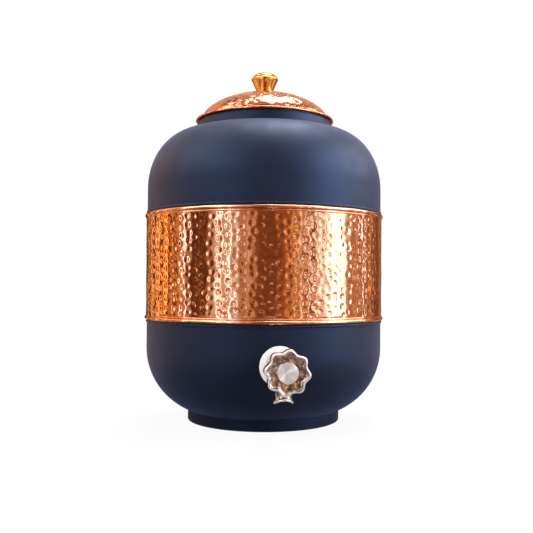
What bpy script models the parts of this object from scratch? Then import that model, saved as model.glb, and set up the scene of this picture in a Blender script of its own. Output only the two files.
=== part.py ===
# A free-standing water dispenser: a round painted pot in two spun shells on a foot ring, a hammered
# copper band round its middle, a lift-off domed copper lid with a brass knob, and a screw-down tap.
#
# Every length is in metres and +Z is up. Heights are above the table. The pot's axis is vertical, and
# the tap points along -Y. Pieces of the tap are modelled about their own Z, which a parent empty turns
# to point out of the pot, with zero at the pot's straight wall.

import math

import bmesh
import bpy

# Gaps
SEAT_GAP = 0.0003          # between pieces that rest on or touch each other
TURN_GAP = 0.0003          # all round a piece that turns or slides in a bore
LID_GAP = 0.0006           # all round the lid's ring in the neck

# Pot
WALL_R = 0.1092            # outside of the straight wall
WALL_T = 0.0012            # thickness of both shells
BOWL_R = 0.0615            # curve from the wall to the base, outside
BASE_LIFT = 0.0059         # underside of the base above the table
DISH_R = 0.0400            # pressed-up middle of the base
DISH_RISE = 0.0025
SHOULDER_Z = 0.2137        # where the straight wall ends
SHOULDER_RISE = 0.0543     # height of the shoulder's curve
CREST_LAND = 0.0009        # level ring between the neck's fillet and the shoulder's curve

# Foot
FOOT_R = 0.0706
FOOT_T = 0.0014
HEM_W = 0.0046             # width of the flat hem that stands on the table
HEM_T = 0.0015
FOOT_EDGE = 0.0008         # rounding of the foot's lower edge

# Neck
NECK_R = 0.0637            # outside of the neck ring
NECK_T = 0.0016
NECK_H = 0.0096
NECK_FILLET = 0.0020       # solder fillet at the neck's foot
NECK_EDGE = 0.0004

# Band
BAND_Z = 0.0931            # lower edge of the lower bead
BAND_H = 0.0968            # from the lower bead's edge to the upper bead's edge
BAND_T = 0.0005
BEAD_H = 0.0050            # height of each bead strip
BEAD_PROUD = 0.0018        # how far a bead stands out from its own back
BEAD_RIDGE = 0.0034        # height of its half-round ridge, and the rest is its thin second ridge
BEAD_LIP = 0.0008          # how far the second ridge stands out

# Lid
RIM_OVERHANG = 0.0015      # how far the lid's rolled rim stands out past the neck
LID_T = 0.0008
CURL_R = 0.0011            # radius of the rolled rim
BRIM_W = 0.0052            # from the rim's outside to the dome's foot
DOME_RISE = 0.0266
DOME_FULLNESS = 1.76       # 2 is an ellipse, and less is more of a cone
BRIM_START = 0.0012        # from the dome's foot to where the brim is flat
PLUG_T = 0.0008            # the ring that drops into the neck
PLUG_DEPTH = 0.0098
PLUG_LEAD = 0.0015         # taper at its lower edge

# Lid knob
KNOB_FOOT_R = 0.0086
KNOB_NECK_R = 0.0075
KNOB_R = 0.0128
KNOB_CONE_H = 0.0113       # from the dome's top to the widest place
KNOB_CAP_H = 0.0084        # the rounded top above that
KNOB_UNDER_H = 0.0090      # drop of the ellipse that rounds the cone's upper end,
KNOB_UNDER_END = 25        # and how far round it the cone starts, in degrees
LID_SCREW_R = 0.0018
LID_SCREW_HEAD_R = 0.0035
LID_SCREW_HEAD_H = 0.0022
LID_SCREW_REACH = 0.0070   # into the knob
LID_WASHER_R = 0.0060
LID_WASHER_T = 0.0010
HEAD_TOP = 0.7             # share of a screw head's radius where its rounded top is flat

# Tap
TAP_Z = 0.0605             # height of the tap's axis
BOSS_R = 0.0156            # painted pad that the tap seats on
BOSS_PROUD = 0.0010        # its flat face, out from the straight wall
SPIGOT_R = 0.0120          # the part of the boss that goes through the wall
SPIGOT_DEPTH = 0.0067      # its inner face, in from the pad's face
SEAL_R = 0.0150
SEAL_T = 0.0020
FLANGE_R = 0.0165
FLANGE_T = 0.0040
FLANGE_EDGE_T = 0.0014
SHANK_R = 0.0080
SHANK_BORE_R = 0.0040
SHANK_TAIL = 0.0029        # how far the shank shows behind the nut
INNER_SEAL_R = 0.0120
BACK_WASHER_R = 0.0125
BACK_WASHER_T = 0.0012
NUT_FLATS = 0.0240
NUT_H = 0.0060
COLLAR_R = 0.0115          # the body's shoulder against the flange
COLLAR_H = 0.0032
BARREL_R = 0.0098
CHAMBER_R = 0.0076
SEAT_DEPTH = 0.0074        # valve seat, out from the shoulder's back
SEAT_LIP = 0.0009          # width and height of the raised seat
SPOUT_REACH = 0.0255       # spout's axis, out from the straight wall
SPOUT_R = 0.0066
SPOUT_BORE_R = 0.0048
SPOUT_TIP_Z = 0.0343
LIP_R = 0.0076
LIP_H = 0.0032
LIP_ARCH = 0.0030          # rise of the arched lower edge
LIP_WAIST = (0.35, 0.45)   # a point of the flare's hollow curve, as shares of its width and height
LIP_EDGE = (0.25, 0.12)    # rounding of the lip's edge, as shares of its width and height
LIP_HOLLOW = 0.7           # share of the flare that the bore opens by
THREAD_H = 0.0052          # bonnet thread inside the body
PORT_LAND = 0.0005         # metal between the spout's port and the bonnet

# Valve and headwork
LIFT = 0.0025              # travel of the valve, one turn of the knob
WASHER_R = 0.0058
WASHER_T = 0.0020
JUMPER_T = 0.0018
JUMPER_STEM_R = 0.0026
JUMPER_STEM_H = 0.0066
JUMPER_SCREW_R = 0.0013
JUMPER_SCREW_HEAD_R = 0.0026
JUMPER_SCREW_HEAD_H = 0.0012
JUMPER_SCREW_REACH = 0.0040
SPINDLE_HEAD_R = 0.0054
SPINDLE_R = 0.0039
SPINDLE_TIP_R = 0.00285
GASKET_T = 0.0008
BONNET_FLATS = 0.0198
BONNET_HEX_H = 0.0035
BONNET_NOSE_R = 0.0060
BONNET_NOSE_H = 0.0025
O_RING_R = 0.00075         # section radius
O_RING_SETBACK = 0.0061    # its middle, in from the bonnet's back end

# Tap knob
LOBES = 8
LOBE_R = 0.0177            # to the tip of a lobe
VALLEY_R = 0.0154
LOBE_SHARPNESS = 1.0       # 1 is a plain wave, and more is narrower lobes
LOBE_TURN = math.radians(-7)
HANDLE_WEB = 0.0026        # thickness of its middle
HANDLE_SKIRT = 0.0041      # how far the skirt reaches back from the middle
HANDLE_RIM = 0.0031        # how far the rim stands in front of the middle
RIM_W = 0.0021             # width of the rounded rim
HUB_R = 0.0074
HUB_H = 0.0013
DISH_DROP = 0.00026        # the dish's lowest place, in front of the middle
DISH_SLOPE = 0.00047       # its rise from there to halfway out
DISH_LOBES = 0.3           # share of the lobes that shows halfway out,
INNER_RIM_LOBES = 0.75     # at the inside of the rim,
RIM_LOBES = 0.9            # and along the top of the rim
CAP_R = 0.0078
CAP_T = 0.0021
CAP_SKIRT_R = 0.0060
CAP_SKIRT_T = 0.0008
CAP_EDGE = 0.0005
KNOB_SCREW_R = 0.0012
KNOB_SCREW_HEAD_R = 0.0034
KNOB_SCREW_HEAD_H = 0.0014
KNOB_SCREW_REACH = 0.0070

# Facets round a full turn, in multiples of 4 so that the widest points lie on the axes
POT_STEPS = 40
TAP_STEPS = 24
SMALL_STEPS = 12
LOBE_STEPS = 6             # points on each lobe
CURVE_STEPS = 7            # along the bowl and the shoulder

# Heights up the pot
BOWL_Z = BASE_LIFT + BOWL_R
BAND_TOP = BAND_Z + BAND_H
SEAM_Z = BAND_Z + BAND_H / 2
SHOULDER_TOP = SHOULDER_Z + SHOULDER_RISE
NECK_BASE = SHOULDER_TOP + SEAT_GAP
NECK_TOP = NECK_BASE + NECK_H
RIM_BASE = NECK_TOP + SEAT_GAP
BRIM_TOP = RIM_BASE + 2 * CURL_R
DOME_TOP = BRIM_TOP + DOME_RISE
NECK_INSIDE_R = NECK_R - NECK_T
CREST_R = NECK_R + NECK_FILLET + CREST_LAND      # where the shoulder has turned level
LID_R = NECK_R + RIM_OVERHANG
DOME_R = LID_R - BRIM_W
BAND_IN_R = WALL_R + SEAT_GAP
BEAD_OUT_R = BAND_IN_R + BEAD_PROUD

# Places along the tap's axis, out from the straight wall
BOSS_FACE = BOSS_PROUD
SPIGOT_FACE = BOSS_FACE - SPIGOT_DEPTH
INNER_SEAL_AT = SPIGOT_FACE - SEAT_GAP
BACK_WASHER_AT = INNER_SEAL_AT - SEAL_T - SEAT_GAP
NUT_AT = BACK_WASHER_AT - BACK_WASHER_T - SEAT_GAP
SHANK_END = NUT_AT - NUT_H - SHANK_TAIL
SEAL_AT = BOSS_FACE + SEAT_GAP
FLANGE_AT = SEAL_AT + SEAL_T + SEAT_GAP
SHOULDER_AT = FLANGE_AT + FLANGE_T + SEAT_GAP
VALVE_SEAT_AT = SHOULDER_AT + SEAT_DEPTH
BONNET_BACK = SPOUT_REACH + SPOUT_BORE_R + PORT_LAND
BODY_END = BONNET_BACK + THREAD_H
GASKET_AT = BODY_END + SEAT_GAP
HEX_AT = GASKET_AT + GASKET_T + SEAT_GAP
NOSE_AT = HEX_AT + BONNET_HEX_H
NOSE_END = NOSE_AT + BONNET_NOSE_H
WASHER_AT = VALVE_SEAT_AT + SEAT_GAP
JUMPER_AT = WASHER_AT + WASHER_T + SEAT_GAP
SPINDLE_AT = JUMPER_AT + JUMPER_T + SEAT_GAP
SPINDLE_HEAD_END = BONNET_BACK - LIFT - 2 * SEAT_GAP
WEB_BACK = NOSE_END + SEAT_GAP
WEB_FRONT = WEB_BACK + HANDLE_WEB
HANDLE_FACE = WEB_FRONT + HANDLE_RIM
CAP_AT = WEB_FRONT + HUB_H + SEAT_GAP
CAP_FRONT = CAP_AT + CAP_T
SPINDLE_BORE_R = SPINDLE_R + TURN_GAP

# The origin is under the middle of the whole object, which the tap makes longer at the front
AXIS_Y = (WALL_R + CAP_FRONT - BEAD_OUT_R) / 2

NAVY = ("navy_powder_coat", (0.036, 0.045, 0.085, 1.0), 0.55, 0.0)
COPPER = ("hammered_copper", (0.80, 0.36, 0.20, 1.0), 0.22, 1.0)
LID_COPPER = ("lid_copper", (0.82, 0.42, 0.30, 1.0), 0.28, 1.0)
GOLD_BRASS = ("polished_brass", (0.86, 0.58, 0.20, 1.0), 0.14, 1.0)
VALVE_BRASS = ("turned_brass", (0.72, 0.55, 0.28, 1.0), 0.35, 1.0)
CHROME = ("chrome_plate", (0.78, 0.78, 0.80, 1.0), 0.08, 1.0)
SATIN_STEEL = ("satin_steel", (0.66, 0.65, 0.64, 1.0), 0.38, 1.0)
RUBBER = ("black_rubber", (0.02, 0.02, 0.02, 1.0), 0.80, 0.0)
FIBRE = ("red_fibre", (0.30, 0.08, 0.05, 1.0), 0.85, 0.0)


def clear_scene():
    for obj in list(bpy.data.objects):
        bpy.data.objects.remove(obj, do_unlink=True)


def new_collection(name):
    group = bpy.data.collections.new(name)
    bpy.context.scene.collection.children.link(group)
    return group


def new_material(name, finish):
    label, colour, roughness, metallic = finish
    made = bpy.data.materials.new(name + "_" + label)
    made.use_nodes = True
    shader = made.node_tree.nodes["Principled BSDF"]
    shader.inputs["Base Color"].default_value = colour
    shader.inputs["Roughness"].default_value = roughness
    shader.inputs["Metallic"].default_value = metallic
    made.diffuse_color = colour
    return made


def new_empty(name, location, parent=None, turn=0.0):
    empty = bpy.data.objects.new(name, None)
    empty.empty_display_size = 0.02
    empty.location = location
    empty.rotation_euler = (turn, 0.0, 0.0)
    empty.parent = parent
    cutters.objects.link(empty)
    return empty


def add_part(name, mesh, finish, parent):
    obj = bpy.data.objects.new(name, mesh)
    mesh.materials.append(new_material(name, finish))
    obj.parent = parent
    parts.objects.link(obj)
    return obj


def add_cutter(name, mesh, parent):
    obj = bpy.data.objects.new(name, mesh)
    obj.parent = parent
    obj.hide_render = True
    obj.display_type = "WIRE"
    cutters.objects.link(obj)
    return obj


def outline_mesh(name, points, closed):
    # A profile in the XZ plane at +X, as a wire that a Screw modifier turns.
    mesh = bpy.data.meshes.new(name)
    edges = [(i, i + 1) for i in range(len(points) - 1)]
    if closed:
        edges.append((len(points) - 1, 0))
    mesh.from_pydata([(r, 0.0, z) for r, z in points], edges, [])
    return mesh


def spin(obj, steps):
    turned = obj.modifiers.new("turned", "SCREW")
    turned.axis = "Z"
    turned.angle = math.tau
    turned.steps = steps
    turned.render_steps = steps
    turned.use_merge_vertices = True
    turned.merge_threshold = 0.00001
    turned.use_smooth_shade = True


def turned_ring(name, points, steps, finish, parent):
    # Points go down the outside and back up the inside, or from axis to axis on a solid piece.
    solid = points[0][0] == 0.0
    obj = add_part(name, outline_mesh(name, points, not solid), finish, parent)
    spin(obj, steps)
    return obj


def turned_shell(name, points, wall, steps, finish, parent):
    obj = add_part(name, outline_mesh(name, points, False), finish, parent)
    spin(obj, steps)
    thick = obj.modifiers.new("wall", "SOLIDIFY")
    thick.thickness = wall
    thick.offset = -1.0
    thick.use_even_offset = True
    return obj


def rod_mesh(name, radius, low, high, steps, axis="Z"):
    # A plain cylinder between two heights along its axis.
    mesh = bpy.data.meshes.new(name)
    work = bmesh.new()
    made = bmesh.ops.create_cone(work, cap_ends=True, segments=steps, radius1=radius,
                                 radius2=radius, depth=high - low)
    bmesh.ops.translate(work, verts=made["verts"], vec=(0.0, 0.0, (low + high) / 2))
    for vert in work.verts:
        x, y, z = vert.co
        if axis == "Y":
            vert.co = (x, -z, y)
    work.to_mesh(mesh)
    work.free()
    return mesh


def cut(obj, cutter, operation="DIFFERENCE"):
    boolean = obj.modifiers.new(cutter.name, "BOOLEAN")
    boolean.operation = operation
    boolean.solver = "EXACT"
    boolean.object = cutter
    return boolean


def arc(centre_r, centre_z, across, up, start, end, count):
    # Points along an elliptical arc, in degrees from +X towards +Z.
    points = []
    for i in range(count + 1):
        angle = math.radians(start + (end - start) * i / count)
        points.append((centre_r + across * math.cos(angle), centre_z + up * math.sin(angle)))
    return points


def bowl_r(z, grow=0.0):
    # Outside radius of the pot's lower half at a height.
    if z >= BOWL_Z:
        return WALL_R + grow
    below = BOWL_Z - z
    return WALL_R - BOWL_R + math.sqrt((BOWL_R + grow) ** 2 - below ** 2)


def bowl_z(r, grow=0.0):
    # Height of the pot's underside at a radius.
    inward = r - (WALL_R - BOWL_R)
    return BOWL_Z - math.sqrt((BOWL_R + grow) ** 2 - inward ** 2)


def dome_z(r):
    # Height of the lid's outside at a radius.
    share = (r / DOME_R) ** DOME_FULLNESS
    return BRIM_TOP + DOME_RISE * (1.0 - share) ** (1.0 / DOME_FULLNESS)


def make_lower_shell():
    points = [(WALL_R, SEAM_Z - SEAT_GAP / 2)]
    points += arc(WALL_R - BOWL_R, BOWL_Z, BOWL_R, BOWL_R, 0, -90, CURVE_STEPS)
    points += [(DISH_R, BASE_LIFT), (DISH_R - DISH_RISE, BASE_LIFT + DISH_RISE)]
    points += [(0.0, BASE_LIFT + DISH_RISE)]
    shell = turned_shell("lower_shell", points, WALL_T, POT_STEPS, NAVY, pot_axis)
    hole = rod_mesh("tap_hole", SPIGOT_R + SEAT_GAP, SPIGOT_FACE - BOWL_R / 2, BOSS_FACE, TAP_STEPS)
    cut(shell, add_cutter("tap_hole", hole, tap_axis))


def make_upper_shell():
    points = [(NECK_INSIDE_R, SHOULDER_TOP)]
    points += arc(CREST_R, SHOULDER_Z, WALL_R - CREST_R, SHOULDER_RISE, 90, 0, CURVE_STEPS)
    points += [(WALL_R, SEAM_Z + SEAT_GAP / 2)]
    turned_shell("upper_shell", points, WALL_T, POT_STEPS, NAVY, pot_axis)


def make_foot_ring():
    inside = FOOT_R - FOOT_T
    top_out = bowl_z(FOOT_R, SEAT_GAP)
    top_in = bowl_z(inside, SEAT_GAP)
    points = [(inside, top_in), (FOOT_R, top_out), (FOOT_R, FOOT_EDGE)]
    points += arc(FOOT_R - FOOT_EDGE, FOOT_EDGE, FOOT_EDGE, FOOT_EDGE, -45, -90, 1)
    points += [(FOOT_R - HEM_W, 0.0), (FOOT_R - HEM_W, HEM_T), (inside, HEM_T)]
    turned_ring("foot_ring", points, POT_STEPS, NAVY, pot_axis)


def make_neck_ring():
    foot = NECK_R + NECK_FILLET
    points = [(NECK_INSIDE_R, NECK_TOP), (NECK_R - NECK_EDGE, NECK_TOP), (NECK_R, NECK_TOP - NECK_EDGE)]
    points += arc(foot, NECK_BASE + NECK_FILLET, NECK_FILLET, NECK_FILLET, 180, 250, 2)
    points += [(foot, NECK_BASE), (NECK_INSIDE_R, NECK_BASE)]
    turned_ring("neck_ring", points, POT_STEPS, NAVY, pot_axis)


def make_band():
    low = BAND_Z + BEAD_H + SEAT_GAP
    high = BAND_TOP - BEAD_H - SEAT_GAP
    outside = BAND_IN_R + BAND_T
    points = [(BAND_IN_R, high), (outside, high), (outside, low), (BAND_IN_R, low)]
    turned_ring("hammered_band", points, POT_STEPS, COPPER, pot_axis)


def make_bead(name, edge_z, towards_band):
    # A half-round ridge at the band's edge with a thin second ridge on the side of the sheet.
    ridge_z = edge_z + towards_band * BEAD_RIDGE / 2
    base_r = BAND_IN_R + BEAD_LIP / 2
    points = [(BAND_IN_R, edge_z)]
    for along, out in ((-1.0, base_r), (-0.5, BEAD_OUT_R), (0.5, BEAD_OUT_R), (1.0, base_r)):
        points.append((out, ridge_z + towards_band * BEAD_RIDGE / 2 * along))
    lip_z = edge_z + towards_band * BEAD_H
    points += [(BAND_IN_R + BEAD_LIP, (points[-1][1] + lip_z) / 2), (BAND_IN_R + BEAD_LIP, lip_z)]
    points += [(BAND_IN_R, lip_z)]
    if towards_band > 0:
        points.reverse()
    turned_ring(name, points, POT_STEPS, COPPER, pot_axis)


def make_lid_dome():
    hole = LID_SCREW_R + SEAT_GAP
    points = [(hole, dome_z(hole))]
    for degrees in (72, 56, 42, 30, 18, 6):
        angle = math.radians(degrees)
        points.append((DOME_R * math.cos(angle) ** (2 / DOME_FULLNESS),
                       BRIM_TOP + DOME_RISE * math.sin(angle) ** (2 / DOME_FULLNESS)))
    points += [(DOME_R + BRIM_START, BRIM_TOP)]
    points += arc(LID_R - CURL_R, RIM_BASE + CURL_R, CURL_R, CURL_R, 90, -90, 3)
    turned_shell("lid_dome", points, LID_T, POT_STEPS, LID_COPPER, lid_axis)


def make_lid_plug():
    outside = NECK_INSIDE_R - LID_GAP
    inside = outside - PLUG_T
    top = BRIM_TOP - LID_T - SEAT_GAP
    low = top - PLUG_DEPTH
    points = [(inside, top), (outside, top), (outside, low + PLUG_LEAD)]
    points += [(outside - PLUG_T, low), (inside - PLUG_T, low), (inside, low + PLUG_LEAD)]
    turned_ring("lid_plug_ring", points, POT_STEPS, SATIN_STEEL, lid_axis)


def make_lid_knob():
    hole = LID_SCREW_R + SEAT_GAP
    hole_top = DOME_TOP + LID_SCREW_REACH + 2 * SEAT_GAP
    widest = DOME_TOP + KNOB_CONE_H
    foot_z = dome_z(KNOB_FOOT_R) + SEAT_GAP
    waist_z = DOME_TOP + SEAT_GAP + (KNOB_FOOT_R - KNOB_NECK_R)
    points = arc(0.0, widest, KNOB_R, KNOB_CAP_H, 90, 14, 5)
    points[0] = (0.0, widest + KNOB_CAP_H)
    points += arc(0.0, widest, KNOB_R, KNOB_UNDER_H, 0, -KNOB_UNDER_END, 2)
    points += [(KNOB_NECK_R, waist_z)]
    points += [(KNOB_FOOT_R, foot_z + SEAT_GAP), (KNOB_FOOT_R, foot_z)]
    points += [(hole, dome_z(hole) + SEAT_GAP), (hole, hole_top), (0.0, hole_top)]
    turned_ring("lid_knob", points, TAP_STEPS, GOLD_BRASS, lid_axis)


def make_lid_screw():
    under = dome_z(LID_WASHER_R) - LID_T - SEAT_GAP
    hole = LID_SCREW_R + SEAT_GAP
    low = under - LID_WASHER_T
    washer = [(hole, under), (LID_WASHER_R, under), (LID_WASHER_R, low), (hole, low)]
    turned_ring("lid_knob_washer", washer, SMALL_STEPS, SATIN_STEEL, lid_axis)
    head_top = low - SEAT_GAP
    head_low = head_top - LID_SCREW_HEAD_H
    screw = [(0.0, DOME_TOP + LID_SCREW_REACH), (LID_SCREW_R, DOME_TOP + LID_SCREW_REACH)]
    screw += [(LID_SCREW_R, head_top), (LID_SCREW_HEAD_R, head_top)]
    screw += [(LID_SCREW_HEAD_R, head_low + LID_SCREW_HEAD_H / 2)]
    screw += [(LID_SCREW_HEAD_R * HEAD_TOP, head_low), (0.0, head_low)]
    turned_ring("lid_knob_screw", screw, SMALL_STEPS, SATIN_STEEL, lid_axis)


def make_tap_boss():
    # A pad whose back follows the pot, and a spigot through the wall with a flat inner face.
    bore = SHANK_R + SEAT_GAP
    pad = rod_mesh("tap_boss", BOSS_R, bowl_r(TAP_Z - BOSS_R) - WALL_R - BOSS_R / 2, BOSS_FACE,
                   TAP_STEPS)
    boss = add_part("tap_boss", pad, NAVY, tap_axis)
    wall = [(WALL_R + SEAT_GAP, TAP_Z + 2 * BOSS_R)]
    wall += arc(WALL_R - BOWL_R, BOWL_Z, BOWL_R + SEAT_GAP, BOWL_R + SEAT_GAP, 0, -90, CURVE_STEPS)
    wall = [(0.0, TAP_Z + 2 * BOSS_R)] + wall + [(0.0, BASE_LIFT - SEAT_GAP)]
    pot = add_cutter("pot_outside", outline_mesh("pot_outside", wall, False), pot_axis)
    spin(pot, POT_STEPS)
    cut(boss, pot)
    spigot = rod_mesh("spigot", SPIGOT_R, SPIGOT_FACE, BOSS_FACE - BOSS_PROUD / 2, TAP_STEPS)
    cut(boss, add_cutter("spigot", spigot, tap_axis), "UNION")
    hole = rod_mesh("boss_bore", bore, SPIGOT_FACE - SHANK_R, BOSS_FACE + SHANK_R, TAP_STEPS)
    cut(boss, add_cutter("boss_bore", hole, tap_axis))


def flat_ring(name, at, thick, outer, inner, finish, steps=TAP_STEPS):
    # A washer along the tap's axis, from one place towards the front.
    points = [(inner, at + thick), (outer, at + thick), (outer, at), (inner, at)]
    return turned_ring(name, points, steps, finish, tap_axis)


def make_seals():
    bore = SHANK_R + SEAT_GAP
    flat_ring("outer_seal", SEAL_AT, SEAL_T, SEAL_R, bore, RUBBER)
    flat_ring("inner_seal", INNER_SEAL_AT - SEAL_T, SEAL_T, INNER_SEAL_R, bore, RUBBER)
    flat_ring("back_washer", BACK_WASHER_AT - BACK_WASHER_T, BACK_WASHER_T, BACK_WASHER_R, bore,
              SATIN_STEEL)


def make_flange():
    # A pressed steel rose, thin at its edge and rising in a soft curve to the tap's shoulder.
    bore = SHANK_R + SEAT_GAP
    edge_z = FLANGE_AT + FLANGE_EDGE_T
    front = FLANGE_AT + FLANGE_T
    points = [(bore, front), (COLLAR_R, front)]
    points += arc(COLLAR_R, edge_z, FLANGE_R - COLLAR_R, front - edge_z, 70, 0, 4)
    points += [(FLANGE_R, FLANGE_AT), (bore, FLANGE_AT)]
    turned_ring("tap_flange", points, TAP_STEPS, SATIN_STEEL, tap_axis)


def make_back_nut():
    corner = NUT_FLATS / 2 / math.cos(math.pi / 6)
    hexagon = rod_mesh("back_nut", corner, NUT_AT - NUT_H, NUT_AT, 6)
    nut = add_part("back_nut", hexagon, VALVE_BRASS, tap_axis)
    bore = rod_mesh("nut_bore", SHANK_R + SEAT_GAP, NUT_AT - 2 * NUT_H, NUT_AT + NUT_H, TAP_STEPS)
    cut(nut, add_cutter("nut_bore", bore, tap_axis))


def make_tap_body():
    chamfer = SEAT_LIP
    points = [(CHAMBER_R, BODY_END), (BARREL_R - chamfer / 2, BODY_END)]
    points += [(BARREL_R, BODY_END - chamfer / 2), (BARREL_R, SHOULDER_AT + COLLAR_H + chamfer)]
    points += [(COLLAR_R - chamfer, SHOULDER_AT + COLLAR_H), (COLLAR_R, SHOULDER_AT + COLLAR_H - chamfer)]
    points += [(COLLAR_R, SHOULDER_AT), (SHANK_R, SHOULDER_AT), (SHANK_R, SHANK_END + chamfer)]
    points += [(SHANK_R - chamfer, SHANK_END), (SHANK_BORE_R, SHANK_END)]
    points += [(SHANK_BORE_R, VALVE_SEAT_AT), (SHANK_BORE_R + SEAT_LIP, VALVE_SEAT_AT)]
    points += [(SHANK_BORE_R + SEAT_LIP + chamfer / 2, VALVE_SEAT_AT - SEAT_LIP)]
    points += [(CHAMBER_R, VALVE_SEAT_AT - SEAT_LIP)]
    body = turned_ring("tap_body", points, TAP_STEPS, CHROME, tap_axis)
    port = rod_mesh("spout_port", SPOUT_BORE_R, -2 * BARREL_R, 0.0, TAP_STEPS)
    cut(body, add_cutter("spout_port", port, spout_axis))


def make_spout():
    # A short tube down from the barrel, cut to its round side, with a flared and arched lip.
    tip = SPOUT_TIP_Z - TAP_Z
    points = [(SPOUT_BORE_R, 0.0), (SPOUT_R, 0.0), (SPOUT_R, tip + LIP_H)]
    flare = LIP_R - SPOUT_R
    points += [(SPOUT_R + flare * LIP_WAIST[0], tip + LIP_H * LIP_WAIST[1])]
    points += [(LIP_R, tip + LIP_H * LIP_EDGE[1]), (LIP_R - flare * LIP_EDGE[0], tip)]
    points += [(SPOUT_BORE_R + flare * LIP_HOLLOW, tip), (SPOUT_BORE_R, tip + LIP_H)]
    spout = turned_ring("spout", points, TAP_STEPS, CHROME, spout_axis)
    barrel = rod_mesh("barrel_side", BARREL_R + SEAT_GAP, -2 * SPOUT_R, 2 * SPOUT_R, 2 * TAP_STEPS, "Y")
    cut(spout, add_cutter("barrel_side", barrel, spout_axis))
    arch_r = (LIP_R ** 2 + LIP_ARCH ** 2) / (2 * LIP_ARCH)
    arch = rod_mesh("lip_arch", arch_r, -2 * LIP_R, 2 * LIP_R, 2 * TAP_STEPS, "Y")
    cutter = add_cutter("lip_arch", arch, spout_axis)
    cutter.location = (0.0, 0.0, tip + LIP_ARCH - arch_r)
    cut(spout, cutter)


def make_bonnet():
    corner = BONNET_FLATS / 2 / math.cos(math.pi / 6)
    hexagon = rod_mesh("bonnet", corner, HEX_AT, NOSE_AT, 6)
    bonnet = add_part("bonnet", hexagon, CHROME, tap_axis)
    thread_r = CHAMBER_R - SEAT_GAP
    thread = rod_mesh("bonnet_thread", thread_r, BONNET_BACK, HEX_AT + BONNET_HEX_H / 3, TAP_STEPS)
    cut(bonnet, add_cutter("bonnet_thread", thread, tap_axis), "UNION")
    nose = rod_mesh("bonnet_nose", BONNET_NOSE_R, NOSE_AT - BONNET_HEX_H / 3, NOSE_END, TAP_STEPS)
    cut(bonnet, add_cutter("bonnet_nose", nose, tap_axis), "UNION")
    bore = rod_mesh("bonnet_bore", SPINDLE_BORE_R, BONNET_BACK - BONNET_HEX_H,
                    NOSE_END + BONNET_HEX_H, TAP_STEPS)
    cut(bonnet, add_cutter("bonnet_bore", bore, tap_axis))
    flat_ring("bonnet_gasket", GASKET_AT, GASKET_T, BARREL_R, CHAMBER_R, FIBRE)


def make_valve():
    screw_hole = JUMPER_SCREW_R + SEAT_GAP
    flat_ring("valve_washer", WASHER_AT, WASHER_T, WASHER_R, screw_hole, RUBBER, SMALL_STEPS)
    plate_front = JUMPER_AT + JUMPER_T
    hole_end = JUMPER_AT + JUMPER_SCREW_REACH + SEAT_GAP
    stem_end = plate_front + JUMPER_STEM_H
    jumper = [(0.0, stem_end), (JUMPER_STEM_R, stem_end), (JUMPER_STEM_R, plate_front)]
    jumper += [(WASHER_R, plate_front), (WASHER_R, JUMPER_AT), (screw_hole, JUMPER_AT)]
    jumper += [(screw_hole, hole_end), (0.0, hole_end)]
    turned_ring("jumper", jumper, SMALL_STEPS, VALVE_BRASS, tap_axis)
    head = WASHER_AT - SEAT_GAP
    tip = JUMPER_AT + JUMPER_SCREW_REACH
    screw = [(0.0, tip), (JUMPER_SCREW_R, tip), (JUMPER_SCREW_R, head), (JUMPER_SCREW_HEAD_R, head)]
    screw += [(JUMPER_SCREW_HEAD_R, head - JUMPER_SCREW_HEAD_H / 2)]
    screw += [(JUMPER_SCREW_HEAD_R * HEAD_TOP, head - JUMPER_SCREW_HEAD_H), (0.0, head - JUMPER_SCREW_HEAD_H)]
    turned_ring("jumper_screw", screw, SMALL_STEPS, VALVE_BRASS, tap_axis)


def make_spindle():
    # From the tip down its outside, and back up inside the socket that holds the jumper's stem.
    ring_at = BONNET_BACK + O_RING_SETBACK
    groove_r = SPINDLE_BORE_R - 2 * O_RING_R - 2 * SEAT_GAP
    groove_h = O_RING_R + SEAT_GAP
    tip = WEB_FRONT - SEAT_GAP
    socket_r = JUMPER_STEM_R + TURN_GAP
    socket_end = JUMPER_AT + JUMPER_T + JUMPER_STEM_H + 2 * TURN_GAP
    tapped_r = KNOB_SCREW_R + SEAT_GAP
    tapped_end = WEB_FRONT - KNOB_SCREW_REACH
    points = [(0.0, tapped_end), (tapped_r, tapped_end), (tapped_r, tip), (SPINDLE_TIP_R, tip)]
    points += [(SPINDLE_TIP_R, NOSE_END), (SPINDLE_R, NOSE_END)]
    points += [(SPINDLE_R, ring_at + groove_h), (groove_r, ring_at + groove_h)]
    points += [(groove_r, ring_at - groove_h), (SPINDLE_R, ring_at - groove_h)]
    points += [(SPINDLE_R, SPINDLE_HEAD_END), (SPINDLE_HEAD_R, SPINDLE_HEAD_END)]
    points += [(SPINDLE_HEAD_R, SPINDLE_AT), (socket_r, SPINDLE_AT), (socket_r, socket_end)]
    points += [(0.0, socket_end)]
    turned_ring("spindle", points, SMALL_STEPS, VALVE_BRASS, tap_axis)
    major = groove_r + SEAT_GAP + O_RING_R
    ring = arc(major, ring_at, O_RING_R, O_RING_R, 90, -210, 5)
    turned_ring("spindle_o_ring", ring, SMALL_STEPS, RUBBER, tap_axis)


def lobed_ring(work, place, valley, lobe):
    # One section of the knob: a round that swells into lobes by the given amount.
    ring = []
    count = LOBES * LOBE_STEPS
    for i in range(count):
        angle = math.tau * i / count
        swell = ((1.0 + math.cos(LOBES * (angle - LOBE_TURN))) / 2) ** LOBE_SHARPNESS
        radius = valley + lobe * swell
        ring.append(work.verts.new((radius * math.cos(angle), radius * math.sin(angle), place)))
    return ring


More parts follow.
